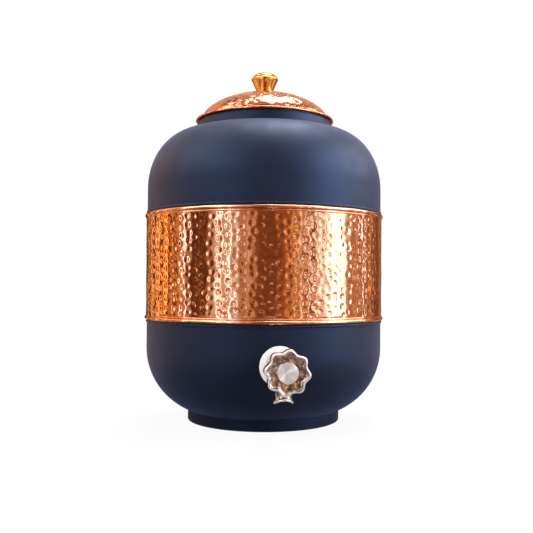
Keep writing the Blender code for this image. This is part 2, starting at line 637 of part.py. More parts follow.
def make_tap_knob():
    # A loft from the round bore over the hub, dish, lobed rim and skirt to the round hollow at the back.
    bore = SPINDLE_TIP_R + SEAT_GAP
    pocket = CAP_SKIRT_R + SEAT_GAP
    full = LOBE_R - VALLEY_R
    edge = RIM_W / 3
    dish = WEB_FRONT + DISH_DROP
    skirt = WEB_BACK - HANDLE_SKIRT
    hollow = BONNET_FLATS / 2 / math.cos(math.pi / 6) + 2 * TURN_GAP
    inner_rim = VALLEY_R - RIM_W
    sections = [
        (WEB_FRONT, bore, 0.0),
        (WEB_FRONT, pocket, 0.0),
        (WEB_FRONT + HUB_H, pocket, 0.0),
        (WEB_FRONT + HUB_H, HUB_R, 0.0),
        (dish, HUB_R + HUB_H, 0.0),
        (dish + DISH_SLOPE, (HUB_R + inner_rim) / 2, full * DISH_LOBES),
        (HANDLE_FACE - edge, inner_rim, full * INNER_RIM_LOBES),
        (HANDLE_FACE, VALLEY_R - RIM_W / 2, full * RIM_LOBES),
        (HANDLE_FACE - edge, VALLEY_R, full),
        (skirt + edge, VALLEY_R, full),
        (skirt, VALLEY_R - edge, full * RIM_LOBES),
        (skirt, hollow, 0.0),
        (WEB_BACK, hollow, 0.0),
        (WEB_BACK, bore, 0.0),
    ]
    mesh = bpy.data.meshes.new("tap_knob")
    work = bmesh.new()
    rings = [lobed_ring(work, *section) for section in sections]
    for first, second in zip(rings, rings[1:] + rings[:1]):
        for i in range(len(first)):
            j = (i + 1) % len(first)
            work.faces.new((first[i], second[i], second[j], first[j]))
    bmesh.ops.recalc_face_normals(work, faces=work.faces)
    work.to_mesh(mesh)
    work.free()
    mesh.shade_smooth()
    mesh.set_sharp_from_angle(angle=math.radians(40))
    add_part("tap_knob", mesh, CHROME, tap_axis)


def make_knob_cap():
    front = CAP_FRONT
    skirt_low = WEB_FRONT + SEAT_GAP
    inner = CAP_SKIRT_R - CAP_SKIRT_T
    points = [(0.0, front), (CAP_R - CAP_EDGE, front), (CAP_R, front - CAP_EDGE), (CAP_R, CAP_AT)]
    points += [(CAP_SKIRT_R, CAP_AT), (CAP_SKIRT_R, skirt_low), (inner, skirt_low)]
    points += [(inner, CAP_AT + SEAT_GAP), (0.0, CAP_AT + SEAT_GAP)]
    turned_ring("knob_cap", points, TAP_STEPS, SATIN_STEEL, tap_axis)
    head = WEB_FRONT + SEAT_GAP
    screw = [(0.0, head + KNOB_SCREW_HEAD_H), (KNOB_SCREW_HEAD_R * HEAD_TOP, head + KNOB_SCREW_HEAD_H)]
    screw += [(KNOB_SCREW_HEAD_R, head + KNOB_SCREW_HEAD_H / 2), (KNOB_SCREW_HEAD_R, head)]
    screw += [(KNOB_SCREW_R, head), (KNOB_SCREW_R, head - KNOB_SCREW_REACH + SEAT_GAP)]
    screw += [(0.0, head - KNOB_SCREW_REACH + SEAT_GAP)]
    turned_ring("knob_screw", screw, SMALL_STEPS, SATIN_STEEL, tap_axis)


clear_scene()
parts = new_collection("water_dispenser")
cutters = new_collection("cutters_and_axes")
pot_axis = new_empty("pot_axis", (0.0, AXIS_Y, 0.0))
lid_axis = new_empty("lid_axis", (0.0, 0.0, 0.0), pot_axis)
tap_axis = new_empty("tap_axis", (0.0, -WALL_R, TAP_Z), pot_axis, math.radians(90))
spout_axis = new_empty("spout_axis", (0.0, -WALL_R - SPOUT_REACH, TAP_Z), pot_axis)

make_lower_shell()
make_upper_shell()
make_foot_ring()
make_neck_ring()
make_band()
make_bead("band_bottom_bead", BAND_Z, 1)
make_bead("band_top_bead", BAND_TOP, -1)
make_lid_dome()
make_lid_plug()
make_lid_knob()
make_lid_screw()
make_tap_boss()
make_seals()
make_flange()
make_back_nut()
make_tap_body()
make_spout()
make_bonnet()
make_valve()
make_spindle()
make_tap_knob()
make_knob_cap()
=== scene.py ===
import math
import random
import bpy
from mathutils import Matrix, Vector, kdtree, noise


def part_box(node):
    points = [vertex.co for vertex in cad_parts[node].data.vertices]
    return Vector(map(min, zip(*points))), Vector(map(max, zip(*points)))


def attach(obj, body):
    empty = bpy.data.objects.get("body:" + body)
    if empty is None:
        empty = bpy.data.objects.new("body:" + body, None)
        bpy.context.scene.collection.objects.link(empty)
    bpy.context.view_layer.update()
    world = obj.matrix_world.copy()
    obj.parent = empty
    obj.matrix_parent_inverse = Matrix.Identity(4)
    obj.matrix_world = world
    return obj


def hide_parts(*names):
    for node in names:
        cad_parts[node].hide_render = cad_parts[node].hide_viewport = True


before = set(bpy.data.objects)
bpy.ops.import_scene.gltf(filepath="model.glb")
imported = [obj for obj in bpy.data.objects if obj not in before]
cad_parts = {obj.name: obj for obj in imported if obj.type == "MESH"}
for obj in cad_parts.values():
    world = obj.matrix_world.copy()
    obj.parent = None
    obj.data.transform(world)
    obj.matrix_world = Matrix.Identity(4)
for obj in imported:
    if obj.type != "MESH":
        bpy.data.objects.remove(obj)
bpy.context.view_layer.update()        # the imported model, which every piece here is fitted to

mm = 0.001


def sizes(node):
    # a node's box in mm: low and high are heights, back and front go outwards along the tap
    low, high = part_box(node)
    return {"r": (high.x - low.x) / 2 / mm, "low": low.z / mm, "high": high.z / mm,
            "back": -high.y / mm, "front": -low.y / mm, "x": (low.x + high.x) / 2 / mm,
            "y": (low.y + high.y) / 2 / mm, "z": (low.z + high.z) / 2 / mm}


foot = sizes("foot_ring")
flange = sizes("tap_flange")
spoutTube = sizes("spout")
# an axis is a point on it, its direction, and the side where the outlines are drawn
potAxis = (Vector((foot["x"], foot["y"], 0)), Vector((0, 0, 1)), Vector((1, 0, 0)))
tapAxis = (Vector((flange["x"], 0, flange["z"])), Vector((0, -1, 0)), Vector((1, 0, 0)))
spoutAxis = (Vector((spoutTube["x"], spoutTube["y"], 0)), Vector((0, 0, 1)), Vector((1, 0, 0)))
potMiddle = (potAxis[0] + Vector((0, 0, 140))) * mm        # where the lamps aim
fit = 0.3                # mm that one piece of the tap stands off the next
cutReach = 30            # mm that a cutter runs past what it cuts


# Small helpers

def toLinear(hexColour, strength=1.0):
    channels = [int(hexColour[i:i + 2], 16) / 255 for i in (1, 3, 5)]
    linear = [c / 12.92 if c <= 0.04045 else ((c + 0.055) / 1.055) ** 2.4 for c in channels]
    return tuple(c * strength for c in linear) + (1.0,)


def addNode(tree, kind, inputs=None, stops=None, **settings):
    # a node with its settings, a value or a link for each input that is named, and a ramp's stops
    node = tree.nodes.new("ShaderNode" + kind)
    for key, value in settings.items():
        setattr(node, key, value)
    for key, value in (inputs or {}).items():
        if isinstance(value, bpy.types.NodeSocket):
            tree.links.new(value, node.inputs[key])
        else:
            node.inputs[key].default_value = value
    if stops:
        spots = node.color_ramp.elements
        spots.remove(spots[0])
        spots[0].position, spots[0].color = stops[0][0], toLinear(stops[0][1])
        for position, colour in stops[1:]:
            spots.new(position).color = toLinear(colour)
    return node


def newFinish(name, colour, roughness, metallic=0.0, others=None):
    material = bpy.data.materials.new(name)
    material.use_nodes = True
    shader = material.node_tree.nodes["Principled BSDF"]
    values = {"Base Color": toLinear(colour), "Roughness": roughness, "Metallic": metallic}
    values.update(others or {})
    for key, value in values.items():
        shader.inputs[key].default_value = value
    return material


def vary(material, what, sizeInMm, low, high, span=(0.3, 0.7), detail=3.0, stretch=None):
    # lumps of a real size vary the colour, the roughness or the height in mm from low to high
    tree = material.node_tree
    shader = tree.nodes["Principled BSDF"]
    place = addNode(tree, "TexCoord").outputs["Object"]
    if stretch:
        place = addNode(tree, "Mapping", {"Vector": place, "Scale": stretch}).outputs["Vector"]
    lumps = addNode(tree, "TexNoise", {"Vector": place, "Scale": 1.0 / (sizeInMm * mm),
                                       "Detail": detail}).outputs["Fac"]
    if what == "colour":
        ramp = addNode(tree, "ValToRGB", {"Fac": lumps}, [(span[0], low), (span[1], high)])
        tree.links.new(ramp.outputs["Color"], shader.inputs["Base Color"])
    elif what == "roughness":
        level = addNode(tree, "MapRange", {"Value": lumps, "From Min": span[0], "From Max": span[1],
                                           "To Min": low, "To Max": high})
        tree.links.new(level.outputs["Result"], shader.inputs["Roughness"])
    else:
        bump = addNode(tree, "Bump", {"Height": lumps, "Distance": (high - low) * mm, "Strength": 1.0})
        before = shader.inputs["Normal"].links
        if before:
            tree.links.new(before[0].from_socket, bump.inputs["Normal"])
        tree.links.new(bump.outputs["Normal"], shader.inputs["Normal"])


def makeActive(piece):
    bpy.ops.object.select_all(action="DESELECT")
    piece.select_set(True)
    bpy.context.view_layer.objects.active = piece


def smoothStep(share):
    share = max(0.0, min(1.0, share))
    return share * share * (3 - 2 * share)


def arcPoints(centreR, centreZ, across, up, start, end, steps):
    angles = [math.radians(start + (end - start) * i / steps) for i in range(steps + 1)]
    return [(centreR + across * math.cos(a), centreZ + up * math.sin(a)) for a in angles]


def roundCorners(corners, steps=4):
    # corners are (r, along) or (r, along, radius), and each radius becomes a small curve
    points = []
    for i, corner in enumerate(corners):
        if len(corner) < 3 or i in (0, len(corners) - 1):
            points.append(tuple(corner[:2]))
            continue
        here = Vector(corner[:2])
        before = Vector(corners[i - 1][:2]) - here
        after = Vector(corners[i + 1][:2]) - here
        start = here + before.normalized() * min(corner[2], before.length * 0.48)
        end = here + after.normalized() * min(corner[2], after.length * 0.48)
        for step in range(steps + 1):
            t = step / steps
            spot = start * (1 - t) ** 2 + here * 2 * t * (1 - t) + end * t ** 2
            points.append((spot.x, spot.y))
    return points


def turnPiece(name, points, axis, steps, sectors=16):
    # an outline in mm, drawn by extruding one point along it, then spun round its axis: first one
    # sector, and then copies of that, because one full spin of many steps takes very long
    origin, along, out = axis
    spots = [(origin + out * r + along * h) * mm for r, h in points]
    bpy.ops.object.select_all(action="DESELECT")
    bpy.ops.mesh.primitive_plane_add(size=mm)
    piece = bpy.context.object
    piece.name = name
    piece.data.name = name
    bpy.ops.object.mode_set(mode="EDIT")
    bpy.ops.mesh.merge(type="CENTER")
    bpy.ops.transform.translate(value=spots[0])
    for first, second in zip(spots, spots[1:]):
        bpy.ops.mesh.extrude_region_move(TRANSFORM_OT_translate={"value": second - first})
    bpy.ops.mesh.select_all(action="SELECT")
    bpy.ops.mesh.spin(steps=steps // sectors, angle=math.tau / sectors, center=origin * mm, axis=along)
    bpy.ops.mesh.select_all(action="SELECT")
    bpy.ops.mesh.spin(steps=sectors, dupli=True, angle=math.tau, center=origin * mm, axis=along)
    bpy.ops.mesh.select_all(action="SELECT")
    bpy.ops.mesh.remove_doubles(threshold=0.002 * mm)
    bpy.ops.mesh.normals_make_consistent(inside=False)
    bpy.ops.object.mode_set(mode="OBJECT")
    return piece


def addRod(name, radius, low, high, axis, sides=96):
    # a plain cylinder along an axis, as the start of a hexagon or to cut with
    origin, along = axis[:2]
    bpy.ops.object.select_all(action="DESELECT")
    tilt = along.to_track_quat("Z", "X").to_euler()
    bpy.ops.mesh.primitive_cylinder_add(vertices=sides, radius=radius * mm, depth=(high - low) * mm,
                                        location=(origin + along * (low + high) / 2) * mm, rotation=tilt)
    rod = bpy.context.object
    rod.name = name
    bpy.ops.object.transform_apply(location=True, rotation=True, scale=True)
    return rod


def cutPiece(piece, cutter, operation="DIFFERENCE"):
    makeActive(piece)
    boolean = piece.modifiers.new("cut", "BOOLEAN")
    boolean.operation = operation
    boolean.object = cutter
    bpy.ops.object.modifier_apply(modifier=boolean.name)
    bpy.data.objects.remove(cutter, do_unlink=True)


def finishPiece(piece, body, materials, nodes, angle=35):
    makeActive(piece)
    bpy.ops.object.shade_smooth_by_angle(angle=math.radians(angle))
    for material in materials:
        piece.data.materials.append(material)
    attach(piece, body)
    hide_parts(*nodes)


def paintInside(piece):
    # faces that look towards the pot's middle take the second finish
    for face in piece.data.polygons:
        if (Vector(face.center) - potMiddle).dot(face.normal) < 0:
            face.material_index = 1


def markFaces(piece, wanted, axis):
    # faces whose middle, as (radius, along) in mm, passes the test take the second finish
    origin, along = axis[:2]
    for face in piece.data.polygons:
        spot = Vector(face.center) / mm - origin
        height = spot.dot(along)
        if wanted((spot - along * height).length, height):
            face.material_index = 1


# Finishes

# powder coat, sprayed and baked: a satin skin with a faint orange peel and no sharp reflections
navyCoat = newFinish("navyPowderCoat", "#111522", 0.48, 0.0,
                     {"Specular IOR Level": 0.7, "Specular Tint": toLinear("#92b2f4"),
                      "Sheen Weight": 0.22, "Sheen Roughness": 0.45, "Sheen Tint": toLinear("#8aa2ea")})
vary(navyCoat, "colour", 45.0, "#0f131f", "#131725", detail=2.0)
vary(navyCoat, "roughness", 12.0, 0.44, 0.52)
vary(navyCoat, "height", 1.6, 0, 0.03, detail=2.0)        # the peel
vary(navyCoat, "height", 0.45, 0, 0.006, detail=2.0)      # the powder's grain

# copper sheet, hammered and then polished: mirror bright, with a faint cloudiness in its colour
bandCopper = newFinish("polishedHammeredCopper", "#efb08a", 0.06, 1.0)
vary(bandCopper, "colour", 5.0, "#e49f77", "#f5bd99", (0.36, 0.62), 5.0)
vary(bandCopper, "roughness", 6.0, 0.04, 0.09, detail=4.0)
vary(bandCopper, "height", 2.2, 0, 0.04)        # polishing ripple

# the same sheet, pinker and less polished, so that its highlights spread
lidCopper = newFinish("hammeredLidCopper", "#e39a78", 0.12, 1.0)
vary(lidCopper, "colour", 4.0, "#d67c58", "#f6a680", (0.36, 0.62), 5.0)
vary(lidCopper, "roughness", 5.0, 0.08, 0.15, detail=4.0)
vary(lidCopper, "height", 1.8, 0, 0.02)

# drawn copper strip, soldered on and buffed: bright with fine lines along it
beadCopper = newFinish("drawnCopperStrip", "#f2b995", 0.1, 1.0)
vary(beadCopper, "colour", 10.0, "#e9a67f", "#f8c8a6")
vary(beadCopper, "roughness", 30.0, 0.06, 0.16, stretch=(1, 1, 60))
vary(beadCopper, "height", 30.0, 0, 0.01, stretch=(1, 1, 60))

# turned and lacquered brass: deep gold with a sharp mirror finish and faint tool lines
brass = newFinish("lacqueredBrass", "#f4bb62", 0.06, 1.0)
vary(brass, "colour", 8.0, "#f2b55c", "#fdd08a")
vary(brass, "height", 12.0, 0, 0.008, detail=2.0, stretch=(1, 1, 40))

# thin chrome plate on a rough casting: nearly a mirror, but uneven, with duller patches; the darker
# brownish patches in its colour are a painted reflection of a dark, warm room
chrome = newFinish("chromePlate", "#dedbdb", 0.08, 0.93)
# painted reflection: brownish-grey patches darken the mirror's colour
vary(chrome, "colour", 3.4, "#8f8580", "#f0ecec", (0.4, 0.6), 2.0)
vary(chrome, "roughness", 5.0, 0.05, 0.12)
vary(chrome, "height", 4.0, 0, 0.03, detail=2.0)

# the same plate made paler and duller, for the front of the knob's rim and the outside of the spout's lip:
# a painted highlight, so that these look pale from all sides
paintedHighlightPlate = newFinish("highlightPaintedFinish", "#f0e3de", 0.3, 0.55)
vary(paintedHighlightPlate, "colour", 3.0, "#dcc8bf", "#faf2f0", (0.36, 0.6))
vary(paintedHighlightPlate, "roughness", 2.0, 0.2, 0.38)

# stainless cap, faced on a lathe: fine rings that pull the light into two wedges
spunSteel = newFinish("spunStainless", "#f2f3f5", 0.42, 0.7, {"Anisotropic": 0.97})
lathe = addNode(spunSteel.node_tree, "Tangent", direction_type="UV_MAP", uv_map="polar")
spunSteel.node_tree.links.new(lathe.outputs["Tangent"],
                              spunSteel.node_tree.nodes["Principled BSDF"].inputs["Tangent"])

# pressed stainless, bead-blasted: its fine pits scatter light as chalk does, so it looks pale and soft
satinSteel = newFinish("blastedStainless", "#f0f0f2", 0.45, 0.12)
vary(satinSteel, "colour", 9.0, "#e9e6e6", "#f6f6f8")
vary(satinSteel, "roughness", 2.0, 0.45, 0.55)
vary(satinSteel, "height", 0.5, 0, 0.004, detail=2.0)

# bare stainless inside, spun over a former: fine rings round the pot
insideSteel = newFinish("spunInsideSteel", "#b9b6b2", 0.3, 1.0)
vary(insideSteel, "roughness", 60.0, 0.24, 0.4, detail=4.0, stretch=(1, 1, 40))
vary(insideSteel, "height", 60.0, 0, 0.03, detail=4.0, stretch=(1, 1, 40))

# moulded nitrile: dull black with a dusty bloom
rubber = newFinish("mouldedRubber", "#1b1b1c", 0.75)
vary(rubber, "colour", 3.0, "#171718", "#262627", detail=4.0)
vary(rubber, "height", 0.6, 0, 0.01)

# pressed vulcanised fibre: dull brick red with short hairs
fibre = newFinish("vulcanisedFibre", "#7b3a2b", 0.85)
vary(fibre, "colour", 0.8, "#6b2f22", "#8d4836", detail=5.0)
vary(fibre, "height", 0.4, 0, 0.02, detail=4.0)

# free-cutting brass straight off the lathe: dull gold with tool rings
turnedBrass = newFinish("turnedBrass", "#c9a35c", 0.32, 1.0)
vary(turnedBrass, "colour", 4.0, "#bf974f", "#d6b26e", detail=4.0)
vary(turnedBrass, "height", 8.0, 0, 0.01, stretch=(1, 30, 1))
print("finishes made")


# Pot

pot = {"wall": 1.2, "neckInside": 62.1, "crestR": 66.6, "shoulderRise": 54.3, "bowlR": 61.5,
       "dishR": 40.0, "dishRise": 2.5, "dishRound": 1.5, "ridgeTall": 2.4, "ridgeProud": 0.9,
       "ridgeGap": 0.2, "tapHoleR": 12.3, "holeEnd": 0.8, "steps": 256}


def ridgePoints(wallR, beadEdge, way):
    # the small swage that keeps the band in place, from its upper end down
    middle = beadEdge + way * (pot["ridgeGap"] + pot["ridgeTall"] / 2)
    return arcPoints(wallR, middle, pot["ridgeProud"], pot["ridgeTall"] / 2, 90, -90, 10)


def makeUpperShell():
    # outside from the neck down over the shoulder, and back up inside
    shell = sizes("upper_shell")
    wallR, top, low, wall = shell["r"], shell["high"], shell["low"], pot["wall"]
    crestR, rise = pot["crestR"], pot["shoulderRise"]
    across, curveZ = wallR - crestR, top - rise
    points = [(pot["neckInside"], top)]
    points += arcPoints(crestR, curveZ, across, rise, 90, 0, 32)
    points += ridgePoints(wallR, sizes("band_top_bead")["high"], 1)
    points += [(wallR, low), (wallR - wall, low)]
    points += arcPoints(crestR, curveZ, across - wall, rise - wall, 0, 90, 24)
    points += [(pot["neckInside"], top - wall), points[0]]
    piece = turnPiece("upperShellCoated", points, potAxis, pot["steps"])
    paintInside(piece)
    finishPiece(piece, "dispenser", [navyCoat, insideSteel], ["upper_shell"])


def makeLowerShell():
    # outside from the seam down to a base that is dished upwards, and back up inside
    shell = sizes("lower_shell")
    boss = sizes("tap_boss")
    wallR, top, base, wall = shell["r"], shell["high"], shell["low"], pot["wall"]
    curveR, dishR, dishRound = pot["bowlR"], pot["dishR"], pot["dishRound"]
    dishIn, dishTop = dishR - pot["dishRise"], base + pot["dishRise"]
    points = [(wallR, top)]
    points += ridgePoints(wallR, sizes("band_bottom_bead")["low"], -1)
    points += arcPoints(wallR - curveR, base + curveR, curveR, curveR, 0, -90, 36)
    points += roundCorners([(dishR + 3, base), (dishR, base, dishRound), (dishIn, dishTop, dishRound),
                            (dishIn - 3, dishTop)])
    points += [(0, dishTop), (0, dishTop + wall), (dishIn, dishTop + wall), (dishR + 1, base + wall)]
    points += arcPoints(wallR - curveR, base + curveR, curveR - wall, curveR - wall, -90, 0, 28)
    points += [(wallR - wall, top), points[0]]
    piece = turnPiece("lowerShellCoated", points, potAxis, pot["steps"])
    cutPiece(piece, addRod("tapHole", pot["tapHoleR"], boss["back"] - cutReach,
                           boss["front"] - pot["holeEnd"], tapAxis))
    paintInside(piece)
    finishPiece(piece, "dispenser", [navyCoat, insideSteel], ["lower_shell"])


neckShape = {"fillet": 2.0, "edge": 0.5, "grooveDeep": 1.3, "grooveTall": 2.1, "grooveEdge": 0.3,
             "grooveRoot": 0.2}


def makeNeck():
    # a short tube with a dark groove under the lid, and a fillet down to the shoulder
    neck = sizes("neck_ring")
    low, high, inR, fillet = neck["low"], neck["high"], pot["neckInside"], neckShape["fillet"]
    outR = neck["r"] - fillet
    grooveR, grooveLow = outR - neckShape["grooveDeep"], high - neckShape["grooveTall"]
    points = roundCorners([(inR, low), (inR, high, neckShape["edge"]),
                           (grooveR, high, neckShape["grooveEdge"]),
                           (grooveR, grooveLow, neckShape["grooveRoot"]),
                           (outR, grooveLow, neckShape["grooveEdge"]), (outR, low + fillet)])
    points += arcPoints(neck["r"], low + fillet, fillet, fillet, 180, 262, 8)
    points += [(neck["r"], low), points[0]]
    piece = turnPiece("neckRingCoated", points, potAxis, pot["steps"])
    finishPiece(piece, "dispenser", [navyCoat], ["neck_ring"])


footShape = {"wall": 1.4, "edge": 1.1, "hem": 4.6, "hemThick": 1.5, "hemEdge": 0.5, "fold": 0.6,
             "foldTop": 3.5}


def makeFoot():
    # a ring whose lower edge is turned in, as a hem to stand on
    r, top = foot["r"], foot["high"]
    inR, hemR, hemTop = r - footShape["wall"], r - footShape["hem"], footShape["hemThick"]
    hemEdge, fold = footShape["hemEdge"], footShape["fold"]
    points = roundCorners([(inR, top), (r, top), (r, 0, footShape["edge"]), (hemR, 0, hemEdge),
                           (hemR, hemTop, hemEdge), (inR - fold, hemTop, fold),
                           (inR, footShape["foldTop"]), (inR, top)])
    piece = turnPiece("footRingCoated", points, potAxis, pot["steps"])
    finishPiece(piece, "dispenser", [navyCoat], ["foot_ring"])


makeUpperShell()
makeLowerShell()
makeNeck()
makeFoot()
print("pot made")


# Hammered band and its strips

band = {"steps": 864, "rows": 106, "thick": 0.5, "seed": 7, "pitch": 7.2, "firstRow": 0.3, "stagger": 0.5,
        "jitter": 0.23, "dentDeep": 0.28, "dentDepths": (0.6, 1.25), "dentR": 2.95,
        "dentSizes": (0.78, 1.12), "dentEdge": 1.3, "reach": 3.6, "deepest": 0.55, "edgeFade": 1.5,
        "wave": 0.3, "waveSize": 17.0, "ripple": 0.07, "rippleSize": 6.0}


def dentField(dents, shape):
    # a hammer mark is a shallow bowl, whose rim is crisper the nearer dentEdge is to 1
    tree = kdtree.KDTree(len(dents))
    for i, dent in enumerate(dents):
        tree.insert(dent[0], i)
    tree.balance()

    def hollow(spot):
        found = 0.0
        for near, i, distance in tree.find_range(spot, shape["reach"]):
            away = distance / dents[i][2]
            if away < 1:
                found += dents[i][1] * (1 - away * away) ** shape["dentEdge"]
        return found
    return hollow


def bandDents(r, low, high):
    # columns of dents, every second one half a row up, and each dent a little out of its place
    chance = random.Random(band["seed"])
    columns = round(math.tau * r / band["pitch"])
    rows = round((high - low) / band["pitch"])
    dents = []
    for column in range(columns):
        shift = band["stagger"] * (column % 2)
        for row in range(rows):
            turn = (column + chance.uniform(-1, 1) * band["jitter"]) * math.tau / columns
            place = row + band["firstRow"] + shift + chance.uniform(-1, 1) * band["jitter"]
            z = low + place * (high - low) / rows
            spot = potAxis[0] + Vector((r * math.sin(turn), -r * math.cos(turn), z))
            size = chance.uniform(*band["dentSizes"])
            dents.append((spot, band["dentDeep"] * chance.uniform(*band["dentDepths"]),
                          band["dentR"] * size))
    return dents


def makeBand():
    sheet = sizes("hammered_band")
    r, low, high = sheet["r"], sheet["low"], sheet["high"]
    points = [(r - band["thick"], low)]
    points += [(r, low + (high - low) * i / band["rows"]) for i in range(band["rows"] + 1)]
    points += [(r - band["thick"], high), points[0]]
    piece = turnPiece("hammeredBandSheet", points, potAxis, band["steps"])
    hollow = dentField(bandDents(r, low, high), band)
    for vertex in piece.data.vertices:
        spot = vertex.co / mm
        out = spot - potAxis[0]
        out.z = 0
        if out.length < r - 0.1:        # the inner edge stays round
            continue
        fade = min(1.0, (spot.z - low) / band["edgeFade"], (high - spot.z) / band["edgeFade"])
        wave = band["wave"] * noise.noise(spot / band["waveSize"])
        wave += band["ripple"] * noise.noise(spot / band["rippleSize"])
        depth = fade * min(hollow(spot) + wave, band["deepest"])
        vertex.co -= out.normalized() * depth * mm
    finishPiece(piece, "dispenser", [bandCopper], ["hammered_band"], 60)


bead = {"ridgeTall": 3.4, "proud": 1.8, "ridgeSeat": 0.3, "lipTall": 1.5, "lipProud": 0.8,
        "lipSeat": 0.15, "solder": 0.27, "solderProud": 0.1, "steps": 368, "wobble": 0.07,
        "wobbleSize": 9.0}


def makeBead(name, node, way):
    # a half-round ridge, a thin second ridge beside it, and the solder that closes its join with the sheet
    strip = sizes(node)
    inR = strip["r"] - bead["proud"]
    edge = strip["high"] if way < 0 else strip["low"]
    ridgeMid = edge + way * bead["ridgeTall"] / 2
    lipMid = edge + way * (strip["high"] - strip["low"] - bead["lipTall"] / 2)
    joinEnd = lipMid + way * (bead["lipTall"] / 2 + bead["solder"])
    points = [(inR, edge)]
    points += arcPoints(inR + bead["ridgeSeat"], ridgeMid, bead["proud"] - bead["ridgeSeat"],
                        bead["ridgeTall"] / 2, -90 * way, 90 * way, 12)
    points += arcPoints(inR + bead["lipSeat"], lipMid, bead["lipProud"] - bead["lipSeat"],
                        bead["lipTall"] / 2, -80 * way, 90 * way, 8)
    points += [(inR + bead["solderProud"], joinEnd), (inR, joinEnd), points[0]]
    piece = turnPiece(name, points, potAxis, bead["steps"])
    for vertex in piece.data.vertices:        # a hand-laid strip is never quite even
        spot = vertex.co / mm
        place = Vector((spot.x, spot.y, 90 * way)) / bead["wobbleSize"]
        vertex.co.z += bead["wobble"] * mm * noise.noise(place)
    finishPiece(piece, "dispenser", [beadCopper], [node], 50)


makeBand()
makeBead("bandTopStrip", "band_top_bead", -1)
makeBead("bandBottomStrip", "band_bottom_bead", 1)
print("band made")


# Lid

lid = {"steps": 512, "rows": 110, "leastStep": 0.25, "domeR": 60.0, "rise": 26.6, "fullness": 1.76,
       "curl": 1.1, "sheet": 0.8, "sheetLean": 0.35, "hole": 2.1, "seed": 23, "pitch": 5.3,
       "ringShare": 0.93, "turnJitter": 0.4, "rowJitter": 1.3, "dentDeep": 0.42,
       "dentDepths": (0.5, 1.2), "dentR": 3.0, "dentSizes": (0.7, 1.2), "dentEdge": 1.3, "reach": 3.7,
       "brimFade": 3.0, "wave": 0.12, "waveSize": 11.0}


def domeZ(r, brim):
    share = min(1.0, r / lid["domeR"]) ** lid["fullness"]
    return brim + lid["rise"] * (1 - share) ** (1 / lid["fullness"])


def domeOutside(brim):
    # from the hole for the knob's screw down to the flat brim
    domeR = lid["domeR"]
    points = []
    for i in range(lid["rows"]):
        angle = math.radians(90) * (1 - i / lid["rows"])
        r = max(lid["hole"], domeR * math.cos(angle) ** (2 / lid["fullness"]))
        if not points or r > points[-1][0] + lid["leastStep"]:
            points.append((r, domeZ(r, brim)))
    return points + [(domeR + 0.1, brim + 0.5), (domeR + 0.5, brim + 0.1), (domeR + 1.2, brim)]


def lidDents(outside, brim):
    # rings of dents about a pitch apart down the dome, each dent a little out of its place
    chance = random.Random(lid["seed"])
    dents = []
    travelled = 0.0
    for last, (r, z) in zip(outside, outside[1:]):
        travelled += math.dist((r, z), last)
        if travelled < lid["pitch"] * lid["ringShare"] or r > lid["domeR"] - 0.6:
            continue
        travelled = 0.0
        count = max(3, round(math.tau * r / lid["pitch"]))
        start = chance.random()
        for k in range(count):
            turn = (k + start + chance.uniform(-lid["turnJitter"], lid["turnJitter"])) * math.tau / count
            away = r + chance.uniform(-lid["rowJitter"], lid["rowJitter"])
            if away > lid["domeR"] - 0.8:        # none on the bend into the brim
                continue
            spot = potAxis[0] + Vector((away * math.cos(turn), away * math.sin(turn), domeZ(away, brim)))
            dents.append((spot, lid["dentDeep"] * chance.uniform(*lid["dentDepths"]),
                          lid["dentR"] * chance.uniform(*lid["dentSizes"])))
    return dents


def makeLid():
    dome = sizes("lid_dome")
    domeR, curl, sheet, hole = lid["domeR"], lid["curl"], lid["sheet"], lid["hole"]
    brim = dome["low"] + 2 * curl
    curlR = dome["r"] - curl
    outside = domeOutside(brim)
    inside = []
    for r, z in reversed(outside[::4]):        # the inner face leans in, to keep the sheet even
        if r < domeR - 1:
            inside.append((r, domeZ(r + lid["sheetLean"] * r / domeR, brim) - sheet))
    points = outside + arcPoints(curlR, dome["low"] + curl, curl, curl, 90, -170, 14)
    points += [(curlR - curl - 0.4, brim - sheet), (domeR - 0.6, brim - sheet)]
    points += inside + [(hole, domeZ(hole, brim) - sheet), outside[0]]
    piece = turnPiece("hammeredLidDome", points, potAxis, lid["steps"])
    hollow = dentField(lidDents(outside, brim), lid)
    inwards = [vertex.normal * (-1 if vertex.normal.z > 0 else 1) for vertex in piece.data.vertices]
    for vertex, inward in zip(piece.data.vertices, inwards):
        spot = vertex.co / mm
        fade = min(1.0, (spot.z - brim - 0.4) / lid["brimFade"])
        if fade > 0:
            wave = lid["wave"] * noise.noise(spot / lid["waveSize"])
            vertex.co += inward * fade * (hollow(spot) + wave) * mm
    finishPiece(piece, "lid", [lidCopper], ["lid_dome"], 60)


lidKnob = {"capR": 12.1, "widestR": 12.8, "collarTall": 1.3, "coneTall": 12.9, "neckR": 7.4, "footR": 7.9,
           "screwR": 2.2, "gap": 0.35, "steps": 160}


